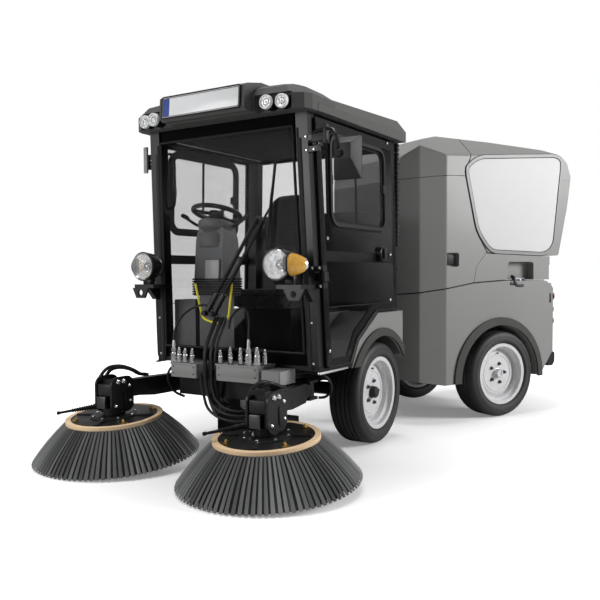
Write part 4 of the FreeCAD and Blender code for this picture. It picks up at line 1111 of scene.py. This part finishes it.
def makeWipers():
    shape = Shape()
    bases, tops = ([onScreen(x, z, wiperSizes["ahead"]) for x, z in wiperSizes[key]]
                   for key in ("bases", "tops"))
    for start, end in zip(bases, tops):
        run = (end - start).normalized()
        shape.use("cabPaint").tube([start, start + (end - start) * 0.5, end], wiperSizes["arm"], "POLY")
        shape.use("darkSteel").lathe([(-0.020, 0), (-0.020, 0.014), (0.055, 0.0165), (0.120, 0.0150),
                                      (0.126, 0.010), (0.126, 0)], start, run, 14)
        foot = start + run * -0.014
        shape.use("zincPlate").lathe([(-0.012, 0), (-0.012, 0.0115), (0.010, 0.0115), (0.016, 0.008),
                                      (0.016, 0)],
                                     foot, forwards, 14)
        shape.use("rubberBlack").lathe([(-0.030, 0), (-0.030, 0.014), (0.004, 0.016), (0.004, 0)], foot,
                                       (0, 1, 0), 14)
    shape.use("darkSteel").tube([tops[0] + Vector((-0.008, 0, 0.004)), tops[1] + Vector((0.010, 0, -0.002))],
                                0.0075, "POLY")
    low, high = (onScreen(x, z, wiperSizes["bladeAhead"]) for x, z in wiperSizes["blade"])
    bow = Vector((0, -wiperSizes["bow"], 0))

    def along(part, bowed=0.0):
        return low + (high - low) * part + bow * bowed
    shape.use("cabPaint").tube([tops[1], (tops[1] + (low + high) / 2) / 2, along(0.5)], 0.006, "POLY")
    shape.tube([along(0.10), along(0.3, 1), along(0.7, 1), along(0.90)], 0.0052)
    shape.tube([along(0.02), along(0.18, 0.4), along(0.34)], 0.004)
    shape.tube([along(0.66), along(0.82, 0.4), along(0.98)], 0.004)
    squeegee = Shape().use("rubberBlack").box((-0.0035, -0.004, 0), (0.0035, 0.012, (high - low).length),
                                              0.0012)
    aim = (high - low).to_track_quat("Z", "Y").to_matrix().to_4x4()
    squeegee.transform(Matrix.Translation(low) @ aim)
    shape.use("rubberBlack").merge(squeegee.copied())
    finishShape(shape, "wipers", "front_unit")


makeWipers()

# Rubber frames of the sliding windows, their latches, the lock's grip and the waist lines
windowSizes = dict(front=-0.590, rear=0.052, low=1.218, high=1.690, corner=0.075, wide=0.020, proud=0.007,
                   latch=1.456)
lockPlace = (cabSizes["side"] + 0.020, -0.030, 1.088)
doorBolts = ((0.092, 1.735), (0.105, 1.088), (0.095, 0.826), (-0.626, 0.590), (-0.622, 1.155))
doorEdge = [(-0.640, 0.508), (-0.415, 0.508), (-0.326, 0.632), (-0.094, 0.772), (0.190, 0.772)]


def doorShape():
    low, high = (windowSizes["front"], windowSizes["low"]), (windowSizes["rear"], windowSizes["high"])
    wide, corner, latch = windowSizes["wide"], windowSizes["corner"], windowSizes["latch"]
    outside = cabSizes["side"]
    shape = Shape().use("rubberBlack")
    shape.band(roundedOutline(low, high, corner), roundedOutline(low, high, corner - wide, -wide),
               outside + 0.0005, outside + windowSizes["proud"])
    shape.band(roundedOutline(low, high, corner + 0.010, 0.010),
               roundedOutline(low, high, corner - wide - 0.012, -wide - 0.012), outside - 0.018,
               outside - 0.0055)
    centre = (low[0] + high[0]) / 2 - 0.02
    shape.box((outside - 0.014, centre - 0.007, low[1] + wide),
              (outside - 0.006, centre + 0.007, high[1] - wide), 0.001)
    shape.box((outside - 0.004, high[0] - wide - 0.022, latch - 0.024),
              (outside + 0.012, high[0] - 0.003, latch + 0.024), 0.003)
    shape.box((outside - 0.020, low[0] + wide - 0.002, latch - 0.024),
              (outside - 0.006, low[0] + wide + 0.030, latch + 0.024), 0.003)
    shape.use("cabPaint").lathe([(0, 0), (0, 0.040), (0.004, 0.040), (0.006, 0.036), (0.004, 0.031),
                                 (0.002, 0.029), (0.002, 0)], lockPlace, outwards, 36)
    shape.use("gripBlack").plate(roundedOutline((-0.042, 1.058), (-0.018, 1.118), 0.009), lockPlace[0],
                                 lockPlace[0] + 0.017, "x", 0.003)
    shape.use("darkSteel").lathe(stud(0.008, 0.020, 0.002, 0.002), lockPlace, outwards, 16)
    shape.use("rubberBlack").box((outside + 0.0003, -0.630, 0.808), (outside + 0.0022, 0.150, 0.812))
    for (y0, z0), (y1, z1) in zip(doorEdge, doorEdge[1:]):
        shape.tube([(outside + 0.001, y0, z0), (outside + 0.001, y1, z1)], 0.0042, "POLY")
    shape.use("gripBlack").box((outside - 0.040, -0.28, 1.060), (outside - 0.018, -0.11, 1.085), 0.006)
    return shape


def makeDoors():
    lean = turned(-cabSizes["lean"], "Y", (cabSizes["side"], 0, cabSizes["floor"]))
    for side, sign in bothHands:
        handed = Matrix.Scale(sign, 4, (1, 0, 0))
        place = frontPlace @ handed @ lean @ handed
        finishShape(doorShape().transform(handed), side + "_door_trim", side + "_door", place)
        rows = [(sign * cabSizes["side"], y, z, sign, 0, 0) for y, z in doorBolts]
        boltSet(side + "_door_bolts", side + "_door", rows, 1.0, "chrome", place)


makeDoors()
print("doors ready")

# On the posts: hinge bolts, grey blocks at the upper hinges, grab loop, conduit and rubber seals
postSizes = dict(conduitRadius=0.019, conduitLow=1.14, conduitHigh=1.735, rib=0.027, boltX=0.538, lean=0.0204,
                 hingeBolts=(0.915, 1.005, 1.578, 1.642), lowBolts=((0.503, 0.735), (0.506, 0.530)))


def postBolts():
    rows = []
    for sign in (-1, 1):
        for z in postSizes["hingeBolts"]:
            x = postSizes["boltX"] - postSizes["lean"] * (z - cabSizes["floor"])
            if sign > 0 or z < 1.5:
                rows += [(*onScreen(sign * (x - 0.012), z, 0.001), *forwards),
                         (*onScreen(sign * (x + 0.030), z, 0.0005), *forwards)]
        rows += [(*onScreen(sign * x, z, 0.001), *forwards) for x, z in postSizes["lowBolts"]]
    boltSet("post_bolts", "front_unit", rows, 0.8, "chrome")


def ribbedPipe():
    ribs, at, r = [], postSizes["conduitLow"], postSizes["conduitRadius"]
    while at < postSizes["conduitHigh"]:
        ribs += [(at, r - 0.007), (at + 0.004, r), (at + 0.016, r), (at + 0.020, r - 0.007)]
        at += postSizes["rib"]
    return [(ribs[0][0], 0)] + ribs + [(ribs[-1][0], 0)]


def makePostPieces():
    postBolts()
    shape = Shape().use("boxPlastic").box((-0.5545, -0.775, 1.545), (-0.529, -0.7605, 1.690), 0.004)
    shape.use("rubberBlack")
    shape.tube([(-0.448, -0.680, 1.655), (-0.424, -0.684, 1.652), (-0.406, -0.686, 1.618),
                (-0.406, -0.684, 1.500), (-0.410, -0.680, 1.385), (-0.426, -0.676, 1.352),
                (-0.450, -0.674, 1.350)], 0.0085)
    shape.lathe(ribbedPipe(), (0.520, 0.247, 0), upwards, 12)
    for z in (0.72, 1.00, 1.30, 1.60):
        shape.use("darkSteel").box((0.506, 0.2345, z), (0.534, 0.262, z + 0.012), 0.002)
    corners = ((-0.458, 0.580), (0.458, 0.580), (0.430, 1.700), (-0.430, 1.700))
    outline = [onScreen(x, z, 0.004) for x, z in corners]
    for start, end in zip(outline, outline[1:] + outline[:1]):
        shape.use("rubberBlack").tube([start, end], 0.0075, "POLY")
    shape.use("aluminium").tube([(-0.424, -0.680, 1.7215), (-0.424, 0.175, 1.7215)], 0.0032, "POLY")
    for sign in (-1, 1):      # rounded bead down the outer part of each front post, in a grey lighter than the post: a real rounded edge, partly a painted highlight
        shape.use("mirrorPlastic").tube([onScreen(sign * 0.490, 0.500, -0.006),
                                         onScreen(sign * 0.4675, 1.640, -0.006)],
                                        0.0125, "POLY")
        shape.use("cabPaint").tube([onScreen(sign * 0.4800, 0.600, -0.003),
                                    onScreen(sign * 0.4560, 1.690, -0.003)],
                                   0.0075, "POLY")
    shape.use("aluminium")
    for sign in (-1, 1):
        low, high = sorted((sign * 0.534, sign * 0.548))
        shape.box((low, -0.708, 0.478), (high, -0.418, 0.489), 0.0012)
    finishShape(shape, "post_trim", "front_unit")


makePostPieces()

# Inside the cab: ribbed boot and bare badge on the column, levers, pedals, mat, armrest and roof lining, the
# lining darker than its own black as painted shade
columnSizes = dict(x=-0.190, bootLow=0.864, bootHigh=0.960, folds=7, lever=0.0085, switches=6)
tubeLine = [(-0.221, 0.928), (-0.209, 0.860), (-0.189, 0.762), (-0.173, 0.738), (-0.123, 0.722),
            (-0.068, 0.716), (-0.023, 0.732), (-0.003, 0.752), (0.013, 0.850), (0.027, 0.928)]


def makeCabInside():
    x = columnSizes["x"]
    shape = Shape().use("rubberBlack")
    step = (columnSizes["bootHigh"] - columnSizes["bootLow"]) / columnSizes["folds"]
    for fold in range(columnSizes["folds"]):
        z = columnSizes["bootLow"] + step * fold
        shape.box((x - 0.108, -0.6715, z), (x + 0.108, -0.492, z + step * 0.72), 0.004)
    shape.use("consolePlastic").lathe([(-0.030, 0), (-0.030, 0.066), (-0.012, 0.094), (0.010, 0.103),
                                       (0.026, 0.100), (0.032, 0.090), (0.032, 0)], (x, -0.588, 1.236),
                                      (0, 0.2, 1), 36)
    shape.lathe([(0.0, 0), (0.0, 0.098), (0.030, 0.1015), (0.060, 0.098), (0.075, 0.088), (0.085, 0.060),
                 (0.085, 0)], (x, -0.581, 1.130), upwards, 36)
    for hand, lift in ((-1, 0.05), (1, 0.03)):
        shape.use("gripBlack").tube([(x + hand * 0.09, -0.565, 1.238), (x + hand * 0.15, -0.58, 1.25),
                                     (x + hand * 0.205, -0.60, 1.25 + lift)], columnSizes["lever"])
        shape.lathe([(0, 0), (0, 0.010), (0.01, 0.013), (0.04, 0.013), (0.046, 0.009), (0.046, 0)],
                    (x + hand * 0.195, -0.597, 1.247 + lift), (hand, -0.2, 0.5), 14)
    shape.use("rubberBlack").box((-0.300, -0.52, 0.5155), (0.300, 0.195, 0.521), 0.002)
    for pedal, wide in ((0.045, 0.07), (-0.34, 0.08)):
        shape.use("gripBlack").box((pedal, -0.645, 0.545), (pedal + wide, -0.560, 0.560), 0.004,
                                   turned(32, "X"))
        shape.use("darkSteel").tube([(pedal + wide / 2, -0.600, 0.548), (pedal + wide / 2, -0.612, 0.517)],
                                    0.006, "POLY")
    shape.use("seatShell").box((0.105, -0.28, 0.905), (0.170, 0.075, 0.950), 0.014)
    shape.box((0.110, 0.030, 0.760), (0.150, 0.075, 0.910), 0.006)
    shape.use("consolePlastic").box((0.215, -0.30, 0.521), (0.312, 0.190, 0.760), 0.012)
    # a near-black sheet under the roof: the real lining, darkened further as painted shade
    shape.use("liningBlackPaintedShade").box((-0.425, -0.685, 1.722), (0.425, 0.180, 1.762), 0.004)
    shape.use("darkSteel").box((0.228, -0.22, 0.760), (0.300, 0.02, 0.771), 0.003)
    for number in range(columnSizes["switches"]):
        y = -0.20 + number * 0.036
        shape.use("gripBlack").box((0.236, y, 0.771), (0.258, y + 0.022, 0.780), 0.002)
    finishShape(shape, "cab_inside", "front_unit")
    tube = Shape().use("tubeYellow").tube([onScreen(tubeX, z, 0.012) for tubeX, z in tubeLine], 0.0058)
    finishShape(tube, "yellow_tube", "front_unit")
    badge = Shape().use("badgeGrey").box((x - 0.047, -0.0045, -0.054), (x + 0.047, 0.0, 0.054), 0.0015)
    badge.use("consolePlastic").box((x - 0.052, -0.002, -0.059), (x + 0.052, 0.004, 0.059), 0.003)
    badge.transform(Matrix.Translation((0.030, -0.6635, 1.002)) @ turned(-2.8, "X"))
    finishShape(badge, "bare_badge", "front_unit")


makeCabInside()
print("cab fittings ready")

# Quick couplings on the boxes: a hexagon foot, a sleeve with rings and a plug or a hose on top
couplingSizes = dict(radius=0.0125, foot=0.0150, height=0.078, rings=5, ringStep=0.0052,
                     tops=(0.508, 0.518, 0.500))
couplingRows = [(-0.289, -0.835, 0, 1.2), (-0.254, -0.832, 0, 1.04), (-0.211, -0.834, 0, 1.0),
                (-0.162, -0.834, 0, 1.0), (0.026, -0.834, 1, 0.9), (0.048, -0.778, 1, 1.04),
                (0.094, -0.836, 1, 0.8), (0.114, -0.778, 1, 1.04), (0.160, -0.836, 1, 0.8),
                (0.207, -0.835, 1, 1.3), (0.250, -0.822, 1, 1.2), (0.262, -0.770, 1, 1.0)]
boxFaces = ((-0.300, -0.120, 0.508), (0.008, 0.280, 0.518))


def couplingObject():
    r, foot, high = couplingSizes["radius"], couplingSizes["foot"], couplingSizes["height"]
    shape = Shape().use("chrome")
    shape.lathe([(0, 0), (0, foot), (0.012, foot), (0.013, r)], (0, 0, 0), upwards, 6)
    profile = [(0.012, 0), (0.012, r)]
    for ring in range(couplingSizes["rings"]):
        at = 0.016 + ring * couplingSizes["ringStep"]
        profile += [(at, r), (at + 0.0006, r * 1.16), (at + 0.0036, r * 1.16), (at + 0.0042, r)]
    profile += [(0.044, r * 0.92), (0.045, r * 0.72), (0.049, r * 0.72), (0.050, r * 0.95), (0.062, r * 0.95),
                (0.063, r * 0.66), (high - 0.002, r * 0.60), (high, r * 0.45), (high, 0)]
    shape.lathe(profile, (0, 0, 0), upwards, 20)
    return shown("coupling", shape.toMesh("coupling"))


def makeCouplings():
    coupling, tops, parts = couplingObject(), couplingSizes["tops"], []
    for size in sorted({row[3] for row in couplingRows}):
        rows = [(x, y, tops[box], *upwards) for x, y, box, scale in couplingRows if scale == size]
        parts.append(onSpots(coupling, rows, size, "chrome"))
    drawn = gathered("couplings", parts, "chrome")
    bpy.data.objects.remove(coupling)
    drawn.transform(frontPlace)
    ridePiece("quick_couplings", smoothed(drawn), "front_unit")
    # foot plates, ferrules at the hoses' upper ends and screws on the boxes' faces
    shape = Shape().use("rubberBlack")
    for x, y, box, size in couplingRows:
        shape.lathe([(0.0002, 0.010), (0.0002, 0.0165), (0.003, 0.0160), (0.004, 0.013)], (x, y, tops[box]),
                    upwards, 20, looped=True)
    for x, y, z, run in ((-0.289, -0.835, 0.592, (-0.05, 0.04, 1)), (0.207, -0.835, 0.616, (0, 0.04, 1))):
        shape.use("zincPlate").lathe([(0, 0), (0, 0.0095), (0.022, 0.0095), (0.024, 0.0075), (0.034, 0.0072),
                                      (0.034, 0)], (x, y, z), run, 18)
    shape.use("boxPlastic")
    for low, high, top in boxFaces:
        shape.box((low + 0.012, -0.8535, top - 0.062), (high - 0.012, -0.850, top - 0.014), 0.0015)
        shape.box((low - 0.002, -0.854, top - 0.0095), (high + 0.002, -0.704, top + 0.0005), 0.002)
    finishShape(shape, "coupling_feet", "front_unit")
    rows = [(x, -0.8525, z, *forwards) for low, high, top in boxFaces
            for x in (low + 0.022, high - 0.022) for z in (top - 0.056, top - 0.020)]
    boltSet("box_screws", "front_unit", rows, 0.45, "darkSteel")


makeCouplings()
print("couplings ready")

# Seat: a cushion and a back, blown up as cloth, with sewn channels and piping.
# axes: the two that its outline lies in, then the one along which the pad is thick
cushionSizes = dict(low=(-0.352, -0.300, 0.790), high=(0.072, 0.110, 0.872), corner=0.07, cap=0.016,
                    axes=(0, 1, 2))
backSizes = dict(low=(-0.336, 0.070, 0.905), high=(0.056, 0.142, 1.488), corner=0.11, cap=0.014,
                 axes=(0, 2, 1))
clothSizes = dict(voxel=0.006, quickVoxel=0.012, pressure=4.0, frames=20, bevel=0.022, sewn=0.012,
                  facing=0.35, piping=0.004, tilt=-5)


def padOutline(sizes, out, steps):
    low, high = ([sizes[end][axis] for axis in sizes["axes"][:2]] for end in ("low", "high"))
    return roundedOutline(low, high, sizes["corner"], out, steps)


def baked(pad):
    drawn = evaluated(pad)
    pad.modifiers.clear()
    pad.data = drawn
    return pad


def padBody(name, sizes):
    thick = sizes["axes"][2]
    shape = Shape().use("seatCloth").plate(padOutline(sizes, 0, 8), sizes["low"][thick], sizes["high"][thick],
                                           "xyz"[thick], clothSizes["bevel"])
    pad = shown(name, shape.toMesh(name, sharp=180))
    remesh = pad.modifiers.new("remesh", "REMESH")
    remesh.mode = "VOXEL"
    remesh.voxel_size = clothSizes["voxel"]
    return baked(pad)


def blowUp(pad, cap):
    start = [vertex.co.copy() for vertex in pad.data.vertices]
    cloth = pad.modifiers.new("cloth", "CLOTH")
    cloth.settings.use_pressure = True
    cloth.settings.uniform_pressure_force = clothSizes["pressure"]
    cloth.settings.effector_weights.gravity = 0.0
    cloth.point_cache.frame_start, cloth.point_cache.frame_end = 1, clothSizes["frames"]
    for step in range(1, clothSizes["frames"] + 1):
        scene.frame_set(step)
    baked(pad)
    scene.frame_set(1)
    for vertex, place in zip(pad.data.vertices, start):
        move = vertex.co - place
        if move.length > cap:
            vertex.co = place + move * (cap / move.length)


def sewPad(pad, channels, along, face, depth):
    # channels pressed in from one side, at these places along one axis
    wide = clothSizes["sewn"]
    for vertex in pad.data.vertices:
        towards = vertex.normal.dot(Vector(face))
        near = min(abs(vertex.co[along] - at) for at in channels)
        if towards >= clothSizes["facing"] and near < wide:
            vertex.co -= Vector(face) * depth * (0.5 + 0.5 * math.cos(math.pi * near / wide)) * towards


def onPad(pad, loop):
    # a loop moved on to the surface of a pad
    tree = BVHTree.FromPolygons([vertex.co for vertex in pad.data.vertices],
                                [face.vertices[:] for face in pad.data.polygons])
    found = [tree.find_nearest(Vector(point)) for point in loop]
    return [tuple(place + normal * 0.0015) for place, normal, _, _ in found]


def makeSeat():
    middle = (cushionSizes["low"][0] + cushionSizes["high"][0]) / 2
    cushion = padBody("seat_cushion_pad", cushionSizes)
    back = padBody("seat_back_pad", backSizes)
    blowUp(cushion, cushionSizes["cap"])
    blowUp(back, backSizes["cap"])
    sewPad(cushion, (middle - 0.115, middle + 0.115), 0, upwards, 0.010)
    sewPad(cushion, (-0.21, -0.12, -0.03), 1, upwards, 0.005)
    sewPad(back, (middle - 0.105, middle + 0.105), 0, forwards, 0.010)
    sewPad(back, (1.04, 1.16, 1.28), 2, forwards, 0.005)
    tilt = turned(clothSizes["tilt"], "X", (0, 0.105, 0.890))
    back.data.transform(tilt)
    low, high = backSizes["low"], backSizes["high"]
    loops = [[(x, y, cushionSizes["high"][2] - 0.012) for x, y in padOutline(cushionSizes, 0.004, 4)],
             [tilt @ Vector((x, low[1] + 0.012, z)) for x, z in padOutline(backSizes, 0.004, 4)]]
    piping = Shape().use("seatShell")
    piping.plate(roundedOutline((low[0] + 0.02, low[2] - 0.02), (high[0] - 0.02, high[2] - 0.04), 0.09),
                 high[1] + 0.001, high[1] + 0.018, "y", 0.006)
    piping.transform(tilt).use("gripBlack")
    for pad, node, loop in zip((cushion, back), ("seat_cushion", "seat_back"), loops):
        smooth = pad.modifiers.new("smooth", "SUBSURF")
        smooth.levels = smooth.render_levels = 1
        baked(pad)
        piping.tube(onPad(pad, loop), clothSizes["piping"], closed=True)
        pad.data.transform(frontPlace)
        pad.data.materials.clear()
        pad.data.materials.append(finishes["seatCloth"])
        pad.data.polygons.foreach_set("use_smooth", [True] * len(pad.data.polygons))
        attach(pad, "front_unit")
        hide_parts(node)
    finishShape(piping, "seat_piping", "front_unit")


makeSeat()
print("seat ready")

# Rear bodywork: latches, lamps, gasket of the side panels with a painted shadow line round them, slats,
# screws and bumper rods
rearSizes = dict(side=0.545, tail=(0.503, 1.4195, 0.812), corner=0.060, slats=15, slatStep=0.0245,
                 handle=0.115)
tailLamps = ((0.0, 0.038, "tailRed"), (-0.092, 0.032, "amberLens"), (-0.176, 0.032, "tailRed"))
panelOutline = [(0.601, 1.674), (0.703, 1.737), (1.438, 1.801), (1.499, 1.772), (1.415, 1.166),
                (1.328, 1.112), (0.809, 1.125), (0.692, 1.255), (0.594, 1.635)]
sealLow = [(0.462, 0.8815), (0.655, 0.911), (0.953, 0.927), (1.345, 0.9245)]
sealOutline = sealLow + [(y, z + 0.0055) for y, z in reversed(sealLow)]
backwards = (0, 1, 0)


def neighbours(line):
    return zip(line[-1:] + line[:-1], line, line[1:] + line[:1])


def panelLine(out, steps=7):
    # the side panel's outline with rounded corners, moved outwards by a distance
    outline = [Vector(point) for point in panelOutline]
    middle, line = sum(outline, Vector((0, 0))) / len(outline), []
    for before, at, after in neighbours(outline):
        start, end = (at + (other - at).normalized() * min(rearSizes["corner"], (other - at).length * 0.48)
                      for other in (before, after))
        line += [start * (1 - t) ** 2 + at * 2 * t * (1 - t) + end * t * t for t in
                 [step / steps for step in range(steps + 1)]]
    moved = []
    for before, at, after in neighbours(line):
        along = (after - before).normalized()
        normal = Vector((along.y, -along.x))
        moved.append(at + (normal if normal.dot(at - middle) > 0 else -normal) * out)
    return [tuple(point) for point in moved]


def makeRearFittings():
    side, (tailX, tailY, tailZ) = rearSizes["side"], rearSizes["tail"]
    shape = Shape().use("rubberBlack")
    shape.box((side - 0.032, 0.436, 1.032), (side - 0.024, 0.517, 1.098), 0.003)
    shape.use("gripBlack").tube([(side - 0.040, 1.050, 0.955), (side - 0.012, 1.040, 0.948),
                                 (side - 0.004, 1.030, 0.925), (side - 0.002, 1.040, 0.900),
                                 (side - 0.004, 1.075, 0.888), (side - 0.006, 1.120, 0.892)], 0.011)
    shape.box((side - 0.030, 0.990, 0.893), (side + 0.003, 1.062, 0.918), 0.007)
    shape.use("darkSteel").box((side - 0.050, 1.060, 0.915), (side - 0.022, 1.160, 0.945), 0.004)
    shape.use("zincPlate").lathe(stud(0.008, 0.007, 0.002, 0.003), (side - 0.022, 1.110, 0.930), outwards, 12)
    shape.use("rubberBlack").plate(roundedOutline((1.384, 0.768), (1.398, 0.836), 0.006), side - 0.002,
                                   side + 0.0025, "x", 0.001)
    for shift, radius, name in tailLamps:
        place = (tailX, tailY, tailZ + shift)
        shape.use("lampBlack").lathe([(-0.004, radius - 0.006), (0.010, radius - 0.004), (0.012, radius),
                                      (0.010, radius + 0.006), (-0.004, radius + 0.007)], place, backwards,
                                     looped=True)
        shape.use(name).lathe([(0, 0), (0, radius - 0.003), (0.018, radius - 0.003), (0.030, radius * 0.86),
                               (0.038, radius * 0.5), (0.040, 0)], place, backwards)
    shape.bothSides()
    for x in (-0.484, -0.462, 0.462, 0.484):
        shape.use("zincPlate").tube([(x, 1.472, 0.400), (x, 1.474, 0.460), (x, 1.482, 0.540)], 0.0036)
        shape.use("darkSteel").box((x - 0.009, 1.462, 0.4085), (x + 0.009, 1.484, 0.422), 0.002)
    shape.use("rubberBlack").box((-0.498, 1.490, 0.352), (0.498, 1.4975, 0.396), 0.003)
    for low, high in ((0.430, 0.528), (-0.528, -0.430)):      # rubber strip between pod and hopper
        shape.plate(sealOutline, low, high, "x")
    finishShape(shape, "rear_fittings", "rear_unit", rearPlace)


def makeGasketAndShadowLine():
    side = rearSizes["side"]
    gasketAndShadowLine = Shape().use("bodyPaint").band(panelLine(0.014), panelLine(-0.007), side + 0.0003, side + 0.0075)
    gasketAndShadowLine.use("rubberBlack")
    # the inner tube is the rubber gasket line; the outer tube, round the body-grey band, is a dark line for
    # the shadow round the panel's frame: painted shadow
    for proud, out, radius in ((0.0045, -0.009, 0.0026), (0.001, 0.015, 0.0030)):
        gasketAndShadowLine.tube([(side + proud, y, z) for y, z in panelLine(out)], radius, "POLY", True)
    finishShape(gasketAndShadowLine.bothSides(), "panel_gasket", "hopper", rearPlace)


def makeGrille():
    slat = Shape().use("chassisPaint").box((-0.252, 1.4175, 0.484), (0.252, 1.4265, 0.494), 0.002)
    values = {"Copies": rearSizes["slats"], "Step": (0, 0, rearSizes["slatStep"])}
    grown = grow(slat.toMesh("slat"), "row", values, "chassisPaint", rearPlace)
    ridePiece("grille_slats", grown, "rear_unit")
    shape = Shape().use("cabPaint").band(roundedOutline((-0.272, 0.463), (0.272, 0.867), 0.014),
                                         roundedOutline((-0.250, 0.482), (0.250, 0.848), 0.010), 1.418,
                                         1.430, "y")
    shape.use("darkSteel").box((-0.030, 1.426, 0.655), (0.030, 1.438, 0.682), 0.004)
    finishShape(shape, "grille_frame", "rear_unit", rearPlace)
    rows = [(sign * x, 1.4195, z, *backwards) for sign in (-1, 1)
            for x, z in ((0.300, 0.455), (0.300, 0.880), (0.520, 0.470), (0.520, 0.900))]
    boltSet("body_screws", "rear_unit", rows, 0.6, "darkSteel", rearPlace)


def makeGateHandle():
    x = rearSizes["handle"]
    shape = Shape().use("cabPaint")
    shape.tube([(-x, 1.4955, 1.205), (-x, 1.530, 1.215), (-0.080, 1.536, 1.217), (0.080, 1.536, 1.217),
                (x, 1.530, 1.215), (x, 1.4955, 1.205)], 0.009)
    for foot in (-x, x):
        shape.lathe([(-0.004, 0), (-0.004, 0.017), (0.003, 0.016), (0.004, 0)], (foot, 1.4990, 1.2055),
                    (0, 1, -0.25), 18)
    shape.use("rubberBlack").tube([(-0.452, 1.486, 1.150), (0.452, 1.486, 1.150)], 0.004, "POLY")
    finishShape(shape, "gate_handle", "tailgate", rearPlace)


makeRearFittings()
makeGasketAndShadowLine()
makeGrille()
makeGateHandle()
print("rear bodywork ready")

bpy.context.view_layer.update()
bpy.data.objects.remove(dome)
